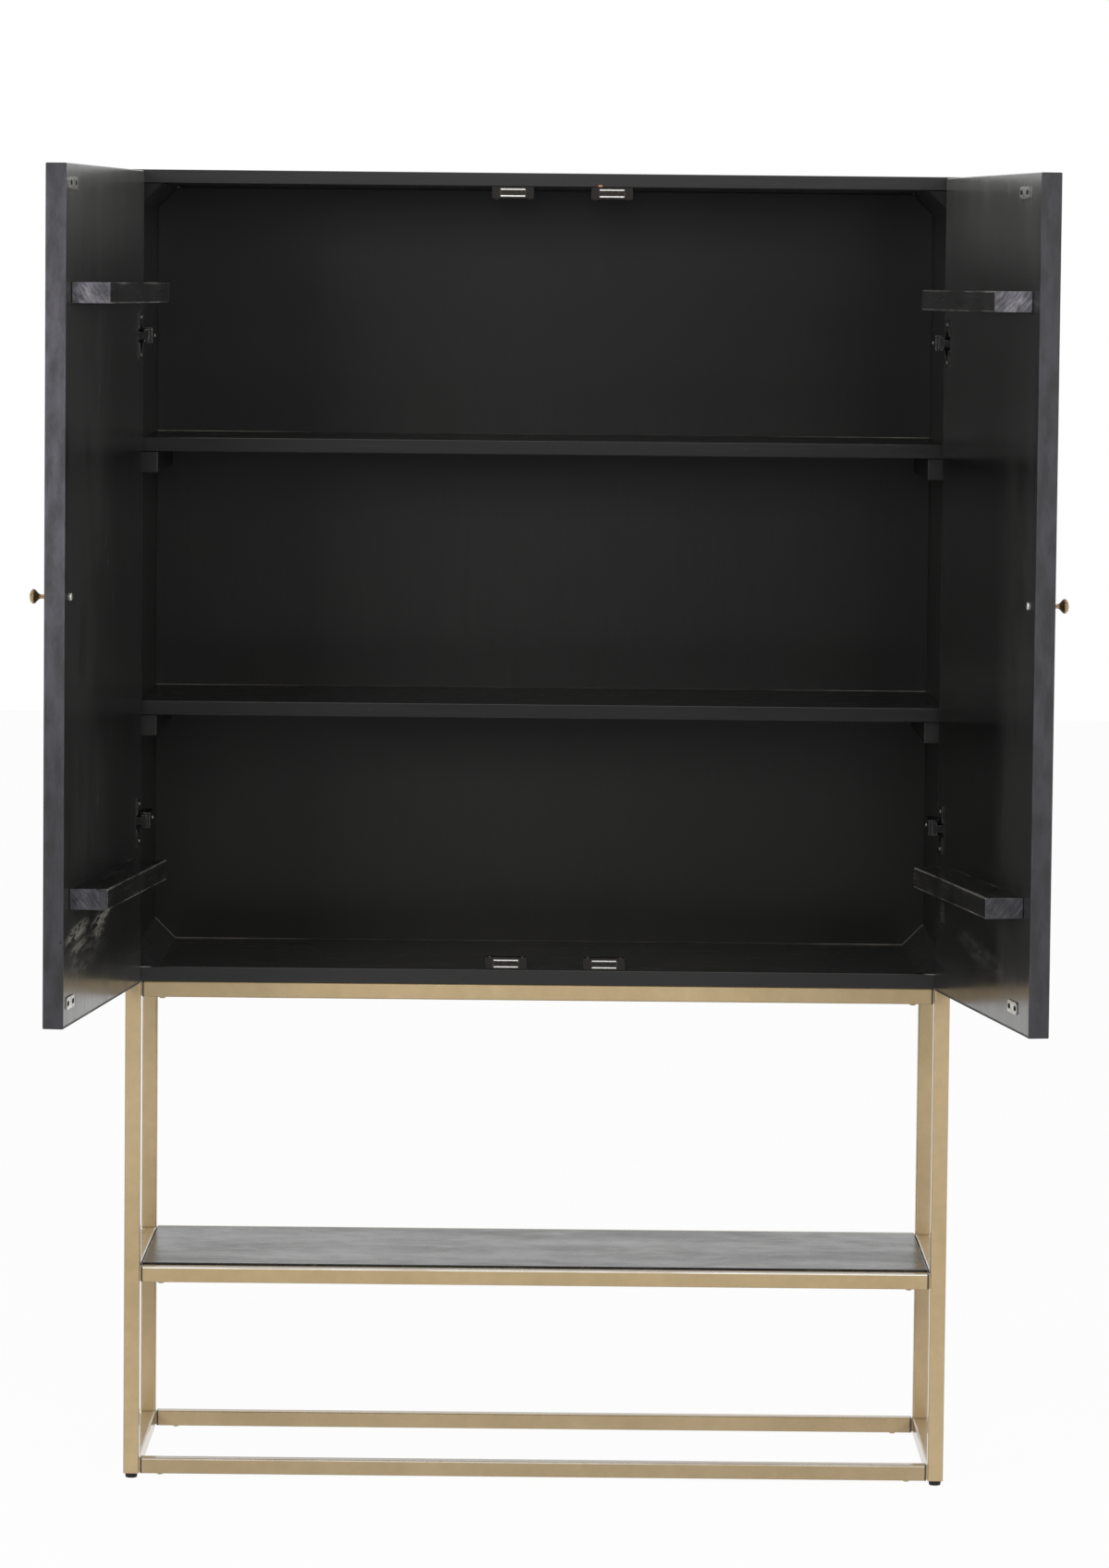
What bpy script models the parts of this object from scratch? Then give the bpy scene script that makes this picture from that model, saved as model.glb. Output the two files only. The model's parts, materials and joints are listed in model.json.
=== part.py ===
"""A two-door highboard: a black lacquered cupboard on a knock-down base of square gold tube.

Metres, +Z up. The front faces -Y, and the doors stand open, as in the photograph.
"""

import math

import bmesh
import bpy
from mathutils import Matrix, Vector

# Overall size, with the doors closed
WIDTH = 1.000
DEPTH = 0.350
HEIGHT = 1.590
BASE_HEIGHT = 0.610

# Gap between pieces that touch
SEAT = 0.0003

# Base of square tube
TUBE = 0.019
TUBE_WALL = 0.0012
TUBE_CORNER = 0.0020
MIDDLE_RAIL_TOP = 0.2605
RAIL_JOINT = 0.0016
STUB_LENGTH = 0.045
FOOT_HEIGHT = 0.006
FOOT_RADIUS = 0.0078
FOOT_TIP_RADIUS = 0.0070
FOOT_TIP_EDGE = 0.0005
FOOT_PLUG = 0.014
BASE_SHELF_THICK = 0.016
BASE_SHELF_PROUD = 0.0022
BASE_SHELF_GAP = 0.0020
TAB_LENGTH = 0.025
TAB_REACH = 0.022
TAB_THICK = 0.003
TAB_SPREAD = 0.100

# Carcass boards
TOP_THICK = 0.016
BOTTOM_THICK = 0.018
SIDE_THICK = 0.014
BACK_THICK = 0.010
SHELF_THICK = 0.017
UPPER_ROOM = 0.3055
LOWER_ROOM = 0.3043
SHELF_SETBACK = 0.022
CLEAT_WIDTH = 0.020
CLEAT_HEIGHT = 0.026
CLEAT_SETBACK = 0.008
STRIP_LEG = 0.026
STRIP_SETBACK = 0.002
BOARD_EDGE = 0.0010
STRIP_EDGE = 0.0006

# Doors
DOOR_THICK = 0.024
DOOR_GAP = 0.0026
DOOR_SIDE_REVEAL = 0.0005
DOOR_MEETING_GAP = 0.0030
DOOR_TOP_REVEAL = 0.0015
DOOR_DROP = 0.0020
DOOR_EDGE = 0.0012
HINGE_EDGE_ROUND = 0.0030
LEFT_OPEN = math.radians(96.5)
RIGHT_OPEN = math.radians(99.0)
BATTEN_LENGTH = 0.386
BATTEN_DEPTH = 0.044
BATTEN_HEIGHT = 0.024
BATTEN_FREE_END = 0.034
BATTEN_FROM_END = 0.14575

# Knobs, each with the screw that holds it through the door
KNOB_INSET = 0.0345
KNOB_REACH = 0.0230
KNOB_RADIUS = 0.0085
KNOB_RIM_HEIGHT = 0.0183
KNOB_NECK_RADIUS = 0.0026
KNOB_NECK_HEIGHT = 0.0095
KNOB_FLARE_POWER = 1.25
KNOB_FOOT_RADIUS = 0.0048
KNOB_FOOT_THICK = 0.0016
KNOB_SCREW_RADIUS = 0.0020
KNOB_SCREW_HEAD_RADIUS = 0.0042
KNOB_SCREW_HEAD_THICK = 0.0018

# Magnetic catches and their strike plates
LEFT_CATCH_X = -0.039
RIGHT_CATCH_X = 0.080
CATCH_WIDTH = 0.050
CATCH_HEIGHT = 0.0145
CATCH_DEPTH = 0.017
CATCH_SETBACK = 0.0012
CATCH_EDGE = 0.0010
CATCH_AIR = 0.0005
POLE_WIDTH = 0.0295
POLE_THICK = 0.0015
POLE_DEPTH = 0.0125
MAGNET_HEIGHT = 0.0064
MAGNET_SETBACK = 0.0030
STRIKE_WIDTH = 0.045
STRIKE_HEIGHT = 0.014
STRIKE_THICK = 0.0012
STRIKE_CORNER = 0.0035
STRIKE_HOLE_RADIUS = 0.0024
STRIKE_HOLE_SPREAD = 0.016

# Cup hinges: the axis lies inside the door board
HINGE_FROM_END = 0.19775
AXIS_INSET = 0.0085
AXIS_DEPTH = 0.0090
CUP_RADIUS = 0.0172
CUP_TAB = 0.0025
CUP_WALL = 0.0010
FLANGE_LENGTH = 0.058
FLANGE_FROM_AXIS = 0.007
FLANGE_WIDTH = 0.018
FLANGE_THICK = 0.0012
PIN_RADIUS = 0.0012
EYE_RADIUS = 0.0025
EYE_AIR = 0.0008
TONGUE_HEIGHT = 0.008
TONGUE_BACK = 0.0008
ARM_FROM_AXIS = 0.011
ARM_NECK_THICK = 0.005
ARM_NECK_HEIGHT = 0.015
ARM_NECK_LAP = 0.008
ARM_THICK = 0.009
ARM_HEIGHT = 0.019
ARM_LENGTH = 0.060
ARM_SETBACK = 0.001
ARM_EDGE = 0.0008
BLOCK_SETBACK = 0.010
BLOCK_LENGTH = 0.046
BLOCK_HEIGHT = 0.018
WING_SETBACK = 0.030
WING_WIDTH = 0.014
WING_HEIGHT = 0.048
WING_THICK = 0.002

# Fineness of round shapes
ROUND_STEPS = 32
SMALL_STEPS = 16
CORNER_STEPS = 3
DOME_STEPS = 6
FLARE_STEPS = 8
SHARP_ANGLE = math.radians(35)
CUT_PAST = 0.005

# Places worked out from the sizes above
FRONT = -DEPTH / 2
BACK = DEPTH / 2
SIDE_INNER = WIDTH / 2 - SIDE_THICK
BACK_INNER = BACK - BACK_THICK
BOTTOM_INNER = BASE_HEIGHT + BOTTOM_THICK
TOP_INNER = HEIGHT - TOP_THICK
SHELF_TOPS = {"upper": TOP_INNER - UPPER_ROOM, "lower": BOTTOM_INNER + LOWER_ROOM + SHELF_THICK}
FRAME_TOP = BASE_HEIGHT - SEAT
RAIL_BOTTOMS = {"bottom": FOOT_HEIGHT, "middle": MIDDLE_RAIL_TOP - TUBE, "top": FRAME_TOP - TUBE}
LEG_X = (WIDTH - TUBE) / 2
LEG_Y = (DEPTH - TUBE) / 2
BASE_SHELF_TOP = MIDDLE_RAIL_TOP + BASE_SHELF_PROUD
BASE_SHELF_BOTTOM = BASE_SHELF_TOP - BASE_SHELF_THICK
DOOR_BOTTOM = BASE_HEIGHT - DOOR_DROP
DOOR_TOP = HEIGHT - DOOR_TOP_REVEAL
DOOR_MIDDLE = (DOOR_BOTTOM + DOOR_TOP) / 2
HINGE_LEVELS = {"upper": DOOR_TOP - HINGE_FROM_END, "lower": DOOR_BOTTOM + HINGE_FROM_END}
BATTEN_LEVELS = {"upper": DOOR_TOP - BATTEN_FROM_END, "lower": DOOR_BOTTOM + BATTEN_FROM_END}
DOOR_WIDTH = (WIDTH - DOOR_MEETING_GAP) / 2 - DOOR_SIDE_REVEAL
AXIS_X = WIDTH / 2 - DOOR_SIDE_REVEAL - AXIS_INSET
AXIS_TO_CARCASS = AXIS_DEPTH + DOOR_GAP
AXIS_Y = FRONT - AXIS_TO_CARCASS
FREE_EDGE = DOOR_WIDTH - AXIS_INSET
CUP_X = CUP_TAB + CUP_RADIUS + SEAT - AXIS_INSET
CUP_FLOOR = -EYE_RADIUS - EYE_AIR
CUP_BOTTOM = CUP_FLOOR - CUP_WALL
PIN_REACH = math.sqrt(CUP_RADIUS**2 - CUP_X**2) - SEAT
CATCH_MIDDLES = {
    "top": TOP_INNER - SEAT - CATCH_HEIGHT / 2,
    "bottom": BOTTOM_INNER + SEAT + CATCH_HEIGHT / 2,
}
SIDES = {"left": -1, "right": 1}
ALONG = {
    "X": Matrix.Rotation(math.pi / 2, 4, "Y"),
    "Y": Matrix.Rotation(-math.pi / 2, 4, "X"),
    "Z": Matrix.Identity(4),
}


def material(name, colour, roughness, metallic=0.0):
    """A plain finish for one kind of surface."""
    finish = bpy.data.materials.new(name)
    finish.use_nodes = True
    shader = finish.node_tree.nodes["Principled BSDF"]
    shader.inputs["Base Color"].default_value = (*colour, 1.0)
    shader.inputs["Roughness"].default_value = roughness
    shader.inputs["Metallic"].default_value = metallic
    return finish


def empty(name, place, turn, parent):
    """An axis that pieces hang on."""
    axis = bpy.data.objects.new(name, None)
    axis.location = place
    axis.rotation_euler.z = turn
    axis.parent = parent
    bpy.context.scene.collection.objects.link(axis)
    return axis


def piece(name, shape, finish, parent, edge=0.0, smooth=False):
    """One object from a finished shape, with its edges eased by a bevel."""
    bmesh.ops.recalc_face_normals(shape, faces=shape.faces)
    mesh = bpy.data.meshes.new(name)
    shape.to_mesh(mesh)
    shape.free()
    if smooth:
        mesh.shade_smooth()
        mesh.set_sharp_from_angle(angle=SHARP_ANGLE)
    if finish:
        mesh.materials.append(finish)
    obj = bpy.data.objects.new(name, mesh)
    obj.parent = parent
    bpy.context.scene.collection.objects.link(obj)
    if edge:
        bevel = obj.modifiers.new("eased edges", "BEVEL")
        bevel.width = edge
        bevel.segments = 2
        bevel.angle_limit = math.radians(40)
    return obj


def combine(obj, shape, operation):
    """Joins a hidden tool shape to an object, or cuts it away."""
    tool = piece(f"{obj.name}_{operation.lower()}", shape, None, obj.parent)
    tool.hide_render = True
    tool.display_type = "WIRE"
    step = obj.modifiers.new(operation.lower(), "BOOLEAN")
    step.operation = operation
    step.object = tool
    step.solver = "EXACT"


def box(corner, opposite, shape=None):
    """A box between two opposite corners, in any order."""
    shape = shape or bmesh.new()
    low = Vector(map(min, corner, opposite))
    high = Vector(map(max, corner, opposite))
    place = Matrix.Translation((low + high) / 2) @ Matrix.Diagonal((*(high - low), 1.0))
    bmesh.ops.create_cube(shape, size=1.0, matrix=place)
    return shape


def cylinder(start, length, radius, axis, steps=ROUND_STEPS, shape=None):
    """A round bar that runs from the middle of its start along an axis."""
    shape = shape or bmesh.new()
    place = Matrix.Translation(start) @ ALONG[axis] @ Matrix.Translation((0, 0, length / 2))
    bmesh.ops.create_cone(
        shape, cap_ends=True, segments=steps, radius1=radius, radius2=radius, depth=length, matrix=place
    )
    return shape


def turned(profile, place, steps=ROUND_STEPS):
    """A solid turned about Z from (radius, height) points, with flat ends at the first and last."""
    shape = bmesh.new()
    rings = []
    for radius, height in profile:
        ring = []
        for step in range(steps):
            angle = math.tau * step / steps
            point = Vector((radius * math.cos(angle), radius * math.sin(angle), height))
            ring.append(shape.verts.new(place @ point))
        rings.append(ring)
    for lower, upper in zip(rings, rings[1:]):
        for step in range(steps):
            after = (step + 1) % steps
            shape.faces.new((lower[step], lower[after], upper[after], upper[step]))
    shape.faces.new(rings[0])
    shape.faces.new(rings[-1])
    return shape


def prism(outline, start, stop, place):
    """A solid of constant outline: place(a, b, c) gives the point at outline (a, b) and height c."""
    shape = bmesh.new()
    low = [shape.verts.new(place(a, b, start)) for a, b in outline]
    high = [shape.verts.new(place(a, b, stop)) for a, b in outline]
    count = len(outline)
    for step in range(count):
        after = (step + 1) % count
        shape.faces.new((low[step], low[after], high[after], high[step]))
    shape.faces.new(low)
    shape.faces.new(high)
    return shape


def rounded(corners):
    """Outline points of a rectangle from (a, b, radius) corners in anticlockwise order from top right."""
    outline = []
    for quarter, (a, b, radius) in enumerate(corners):
        turn = quarter * math.pi / 2
        inward = Matrix.Rotation(turn, 2) @ Vector((-radius, -radius))
        for step in range(CORNER_STEPS + 1):
            angle = turn + step / CORNER_STEPS * math.pi / 2
            outline.append((a + inward.x + radius * math.cos(angle), b + inward.y + radius * math.sin(angle)))
    return outline


def plate(middle_a, middle_b, width, height, radius):
    """Outline points of a rectangle with equal rounded corners about its middle."""
    left, right = middle_a - width / 2, middle_a + width / 2
    low, high = middle_b - height / 2, middle_b + height / 2
    return rounded([(right, high, radius), (left, high, radius), (left, low, radius), (right, low, radius)])


def ladder(x, half, y_lines, z_lines, rail_rows):
    """A flat frame of two uprights with rails between them, on grid lines across and up."""
    shape = bmesh.new()
    points = {
        (side, i, j): shape.verts.new((x + side * half, y, z))
        for side in (-1, 1)
        for i, y in enumerate(y_lines)
        for j, z in enumerate(z_lines)
    }
    columns, rows = len(y_lines) - 1, len(z_lines) - 1

    def filled(i, j):
        upright = i in (0, columns - 1)
        return 0 <= i < columns and 0 <= j < rows and (upright or j in rail_rows)

    for i in range(columns):
        for j in range(rows):
            if not filled(i, j):
                continue
            for side in (-1, 1):
                corners = ((i, j), (i + 1, j), (i + 1, j + 1), (i, j + 1))
                shape.faces.new([points[(side, *corner)] for corner in corners])
            walls = {
                (i - 1, j): ((i, j), (i, j + 1)),
                (i + 1, j): ((i + 1, j), (i + 1, j + 1)),
                (i, j - 1): ((i, j), (i + 1, j)),
                (i, j + 1): ((i, j + 1), (i + 1, j + 1)),
            }
            for neighbour, (one, other) in walls.items():
                if not filled(*neighbour):
                    ends = ((-1, *one), (-1, *other), (1, *other), (1, *one))
                    shape.faces.new([points[end] for end in ends])
    return shape


def round_tube_corners(shape, low, high):
    """Rounds the long edges of a ladder's tubes, and leaves their cut ends square."""
    edges = []
    for edge in shape.edges:
        sideways = [abs(face.normal.x) > 0.5 for face in edge.link_faces]
        heights = [vert.co.z for vert in edge.verts]
        at_end = max(heights) < low + SEAT or min(heights) > high - SEAT
        if any(sideways) and not all(sideways) and not at_end:
            edges.append(edge)
    bmesh.ops.bevel(
        shape, geom=edges, offset=TUBE_CORNER, offset_type="OFFSET", segments=CORNER_STEPS, profile=0.5, affect="EDGES"
    )


def side_frame(name, side, finish, parent):
    """Two legs with three rails welded between them, and the stubs and tabs welded to their inner faces."""
    x = side * LEG_X
    inner = side * (WIDTH / 2 - TUBE)
    y_lines = [FRONT, FRONT + TUBE, BACK - TUBE, BACK]
    z_lines = [z for bottom in RAIL_BOTTOMS.values() for z in (bottom, bottom + TUBE)]
    shape = ladder(x, TUBE / 2, y_lines, z_lines, rail_rows=(0, 2, 4))
    bmesh.ops.recalc_face_normals(shape, faces=shape.faces)
    round_tube_corners(shape, z_lines[0], z_lines[-1])
    frame = piece(name, shape, finish, parent)

    bore_y = [FRONT + TUBE_WALL, FRONT + TUBE - TUBE_WALL, BACK - TUBE + TUBE_WALL, BACK - TUBE_WALL]
    bore_z = [z for bottom in RAIL_BOTTOMS.values() for z in (bottom + TUBE_WALL, bottom + TUBE - TUBE_WALL)]
    bore_z = [FOOT_HEIGHT - CUT_PAST, *bore_z, FRAME_TOP + CUT_PAST]
    combine(frame, ladder(x, TUBE / 2 - TUBE_WALL, bore_y, bore_z, rail_rows=(1, 3, 5)), "DIFFERENCE")

    rooted = inner + side * TUBE_WALL / 2
    stub_end = inner - side * (RAIL_JOINT + STUB_LENGTH)
    stub_half = TUBE / 2 - TUBE_WALL - SEAT
    welded = bmesh.new()
    for y in (-LEG_Y, LEG_Y):
        for bottom in RAIL_BOTTOMS.values():
            z = bottom + TUBE / 2
            box((rooted, y - stub_half, z - stub_half), (stub_end, y + stub_half, z + stub_half), welded)
    tab_top = BASE_SHELF_BOTTOM - SEAT
    for y in (-TAB_SPREAD, TAB_SPREAD):
        low = (rooted, y - TAB_LENGTH / 2, tab_top - TAB_THICK)
        box(low, (inner - side * TAB_REACH, y + TAB_LENGTH / 2, tab_top), welded)
    combine(frame, welded, "UNION")


def cross_rail(name, y, bottom, finish, parent):
    """One open-ended tube that slides over a stub at each end."""
    end = WIDTH / 2 - TUBE - RAIL_JOINT
    z = bottom + TUBE / 2
    bore = TUBE - 2 * TUBE_WALL
    rings = (plate(y, z, TUBE, TUBE, TUBE_CORNER), plate(y, z, bore, bore, TUBE_CORNER - TUBE_WALL))
    shape = bmesh.new()
    loops = [[shape.verts.new((x, a, b)) for a, b in ring] for x in (-end, end) for ring in rings]
    count = len(rings[0])
    for one, other in ((0, 1), (1, 3), (3, 2), (2, 0)):
        for step in range(count):
            after = (step + 1) % count
            shape.faces.new((loops[one][step], loops[one][after], loops[other][after], loops[other][step]))
    piece(name, shape, finish, parent)


def base(finishes, parent):
    """The gold tube base with its feet and its black shelf."""
    for name, side in SIDES.items():
        side_frame(f"{name}_side_frame", side, finishes["gold"], parent)
    for end, y in (("front", -LEG_Y), ("rear", LEG_Y)):
        for level, bottom in RAIL_BOTTOMS.items():
            cross_rail(f"{end}_{level}_rail", y, bottom, finishes["gold"], parent)
        for name, side in SIDES.items():
            plug = TUBE / 2 - TUBE_WALL - SEAT
            profile = (
                (FOOT_TIP_RADIUS - FOOT_TIP_EDGE, 0.0),
                (FOOT_TIP_RADIUS, FOOT_TIP_EDGE),
                (FOOT_RADIUS, FOOT_HEIGHT - SEAT),
                (plug, FOOT_HEIGHT),
                (plug, FOOT_HEIGHT + FOOT_PLUG),
            )
            foot = turned(profile, Matrix.Translation((side * LEG_X, y, 0.0)))
            piece(f"{end}_{name}_foot", foot, finishes["plastic"], parent, smooth=True)
    half_x = WIDTH / 2 - TUBE - BASE_SHELF_GAP
    half_y = DEPTH / 2 - TUBE - BASE_SHELF_GAP
    board = box((-half_x, -half_y, BASE_SHELF_BOTTOM), (half_x, half_y, BASE_SHELF_TOP))
    piece("base_shelf", board, finishes["black"], parent, edge=BOARD_EDGE)


def carcass(finishes, parent):
    """The black box: five boards, two shelves on cleats, and strips in the long corners."""
    black = finishes["black"]
    inside = SIDE_INNER - SEAT

    def board(name, corner, opposite, edge=BOARD_EDGE):
        piece(name, box(corner, opposite), black, parent, edge=edge)

    board("top_panel", (-WIDTH / 2, FRONT, TOP_INNER), (WIDTH / 2, BACK, HEIGHT))
    board("bottom_panel", (-WIDTH / 2, FRONT, BASE_HEIGHT), (WIDTH / 2, BACK, BOTTOM_INNER))
    board("back_panel", (-inside, BACK_INNER, BOTTOM_INNER + SEAT), (inside, BACK, TOP_INNER - SEAT))
    shelf_front = FRONT + SHELF_SETBACK
    shelf_back = BACK_INNER - SEAT
    for side_name, side in SIDES.items():
        outer_low = (side * WIDTH / 2, FRONT, BOTTOM_INNER + SEAT)
        board(f"{side_name}_side_panel", outer_low, (side * SIDE_INNER, BACK, TOP_INNER - SEAT))
        for level, top in SHELF_TOPS.items():
            cleat_top = top - SHELF_THICK - SEAT
            low = (side * inside, shelf_front + CLEAT_SETBACK, cleat_top - CLEAT_HEIGHT)
            board(f"{level}_{side_name}_cleat", low, (side * (inside - CLEAT_WIDTH), shelf_back, cleat_top))
        for level, z, up in (("top", TOP_INNER - SEAT, -1), ("bottom", BOTTOM_INNER + SEAT, 1)):
            outline = (
                (side * inside, z),
                (side * (inside - STRIP_LEG), z),
                (side * inside, z + up * STRIP_LEG),
            )
            strip = prism(outline, FRONT + STRIP_SETBACK, shelf_back, lambda x, z, y: (x, y, z))
            piece(f"{level}_{side_name}_corner_strip", strip, black, parent, edge=STRIP_EDGE)
    for level, top in SHELF_TOPS.items():
        board(f"{level}_shelf", (-inside, shelf_front, top - SHELF_THICK), (inside, shelf_back, top))


def catches(finishes, parent):
    """Four magnetic catches: a housing that is open to the front, and a magnet between two pole plates."""
    housing_front = FRONT + CATCH_SETBACK
    pole_front = FRONT - (DOOR_GAP - SEAT - STRIKE_THICK - CATCH_AIR)
    pole_back = pole_front + POLE_DEPTH
    pack_half = MAGNET_HEIGHT / 2 + POLE_THICK
    for side_name, x in (("left", LEFT_CATCH_X), ("right", RIGHT_CATCH_X)):
        for level, z in CATCH_MIDDLES.items():
            low = (x - CATCH_WIDTH / 2, housing_front, z - CATCH_HEIGHT / 2)
            high = (x + CATCH_WIDTH / 2, housing_front + CATCH_DEPTH, z + CATCH_HEIGHT / 2)
            name = f"{level}_{side_name}_catch"
            housing = piece(name, box(low, high), finishes["plastic"], parent, edge=CATCH_EDGE)
            room = POLE_WIDTH / 2 + SEAT
            pocket = box(
                (x - room, housing_front - CUT_PAST, z - pack_half - SEAT),
                (x + room, pole_back + SEAT, z + pack_half + SEAT),
            )
            combine(housing, pocket, "DIFFERENCE")
            outline = (
                (pole_front, z - pack_half),
                (pole_back, z - pack_half),
                (pole_back, z + pack_half),
                (pole_front, z + pack_half),
                (pole_front, z + MAGNET_HEIGHT / 2),
                (pole_front + MAGNET_SETBACK, z + MAGNET_HEIGHT / 2),
                (pole_front + MAGNET_SETBACK, z - MAGNET_HEIGHT / 2),
                (pole_front, z - MAGNET_HEIGHT / 2),
            )
            pack = prism(outline, x - POLE_WIDTH / 2, x + POLE_WIDTH / 2, lambda y, z, x: (x, y, z))
            piece(f"{level}_{side_name}_magnet", pack, finishes["nickel"], parent)


def knob_shape(place):
    """A trumpet knob on its screw, turned about the screw, with the door's outer face at height 0."""
    inner_face = -DOOR_THICK - SEAT
    profile = [
        (KNOB_SCREW_HEAD_RADIUS * 0.75, inner_face - KNOB_SCREW_HEAD_THICK),
        (KNOB_SCREW_HEAD_RADIUS, inner_face - KNOB_SCREW_HEAD_THICK / 2),
        (KNOB_SCREW_HEAD_RADIUS, inner_face),
        (KNOB_SCREW_RADIUS, inner_face),
        (KNOB_SCREW_RADIUS, SEAT),
        (KNOB_FOOT_RADIUS, SEAT),
        (KNOB_FOOT_RADIUS, KNOB_FOOT_THICK),
        (KNOB_NECK_RADIUS, KNOB_FOOT_THICK * 2),
    ]
    for step in range(FLARE_STEPS):
        share = step / FLARE_STEPS
        flare = (1 - math.cos(math.pi * share**KNOB_FLARE_POWER)) / 2
        radius = KNOB_NECK_RADIUS + (KNOB_RADIUS - KNOB_NECK_RADIUS) * flare
        profile.append((radius, KNOB_NECK_HEIGHT + (KNOB_RIM_HEIGHT - KNOB_NECK_HEIGHT) * share))
    for step in range(DOME_STEPS):
        angle = math.pi / 2 * step / DOME_STEPS
        dome = (KNOB_REACH - KNOB_RIM_HEIGHT) * math.sin(angle)
        profile.append((KNOB_RADIUS * math.cos(angle), KNOB_RIM_HEIGHT + dome))
    return turned(profile, place)


def hinge_cup(name, side, z, finish, parent):
    """A cup sunk in the door, with a flange on the door's inner face."""
    cup_x = -side * CUP_X
    near = -side * FLANGE_FROM_AXIS
    far = -side * (FLANGE_FROM_AXIS + FLANGE_WIDTH)
    plate_low = AXIS_DEPTH + SEAT
    plate_top = plate_low + FLANGE_THICK
    body = cylinder((cup_x, CUP_BOTTOM, z), AXIS_DEPTH - CUP_BOTTOM, CUP_RADIUS, "Y")
    cup = piece(name, body, finish, parent, smooth=True)
    flange = box((near, plate_low, z - FLANGE_LENGTH / 2), (far, plate_top, z + FLANGE_LENGTH / 2))
    combine(cup, flange, "UNION")
    neck_half = math.sqrt(CUP_RADIUS**2 - (FLANGE_FROM_AXIS + FLANGE_WIDTH - CUP_X) ** 2)
    neck = box((near, AXIS_DEPTH - FLANGE_THICK, z - neck_half), (far, plate_top - SEAT, z + neck_half))
    combine(cup, neck, "UNION")
    room = cylinder((cup_x, CUP_FLOOR, z), AXIS_DEPTH - CUP_FLOOR + CUT_PAST, CUP_RADIUS - CUP_WALL, "Y")
    combine(cup, room, "DIFFERENCE")
    eyes = cylinder((0, 0, z - CUP_RADIUS), 2 * CUP_RADIUS, PIN_RADIUS + SEAT, "Z", SMALL_STEPS)
    combine(cup, eyes, "DIFFERENCE")


def hinge_pin(name, z, finish, parent):
    """The pin on the axis, held in the walls of the cup."""
    pin = cylinder((0, 0, z - PIN_REACH), 2 * PIN_REACH, PIN_RADIUS, "Z", SMALL_STEPS)
    piece(name, pin, finish, parent, smooth=True)


def hinge_arm(name, side, z, finish, parent):
    """The arm on the side panel, with its mounting plate and the eye that turns on the pin."""

    def inboard(distance):
        return side * (AXIS_X - distance)

    def bar(near, far, y_low, y_high, height):
        return box((inboard(near), y_low, z - height / 2), (inboard(far), y_high, z + height / 2))

    plate_from = AXIS_X - SIDE_INNER + SEAT
    eye_front = AXIS_Y - EYE_RADIUS
    far = ARM_FROM_AXIS + ARM_THICK
    shape = bar(ARM_FROM_AXIS, far, FRONT + ARM_SETBACK, FRONT + ARM_LENGTH, ARM_HEIGHT)
    arm = piece(name, shape, finish, parent, edge=ARM_EDGE)
    neck_far = ARM_FROM_AXIS + ARM_NECK_THICK
    neck_back = FRONT + ARM_SETBACK + ARM_NECK_LAP
    combine(arm, bar(ARM_FROM_AXIS, neck_far, eye_front, neck_back, ARM_NECK_HEIGHT), "UNION")
    tongue_far = ARM_FROM_AXIS + ARM_NECK_THICK / 2
    combine(arm, bar(0.0, tongue_far, eye_front, AXIS_Y + TONGUE_BACK, TONGUE_HEIGHT), "UNION")
    eye = cylinder((inboard(0.0), AXIS_Y, z - TONGUE_HEIGHT / 2), TONGUE_HEIGHT, EYE_RADIUS, "Z", SMALL_STEPS)
    combine(arm, eye, "UNION")
    block_front = FRONT + BLOCK_SETBACK
    block_far = ARM_FROM_AXIS + ARM_THICK / 2
    combine(arm, bar(plate_from, block_far, block_front, block_front + BLOCK_LENGTH, BLOCK_HEIGHT), "UNION")
    wing_front = FRONT + WING_SETBACK
    combine(arm, bar(plate_from, plate_from + WING_THICK, wing_front, wing_front + WING_WIDTH, WING_HEIGHT), "UNION")
    hole_start = (inboard(0.0), AXIS_Y, z - TONGUE_HEIGHT)
    combine(arm, cylinder(hole_start, 2 * TONGUE_HEIGHT, PIN_RADIUS + SEAT, "Z", SMALL_STEPS), "DIFFERENCE")


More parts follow.
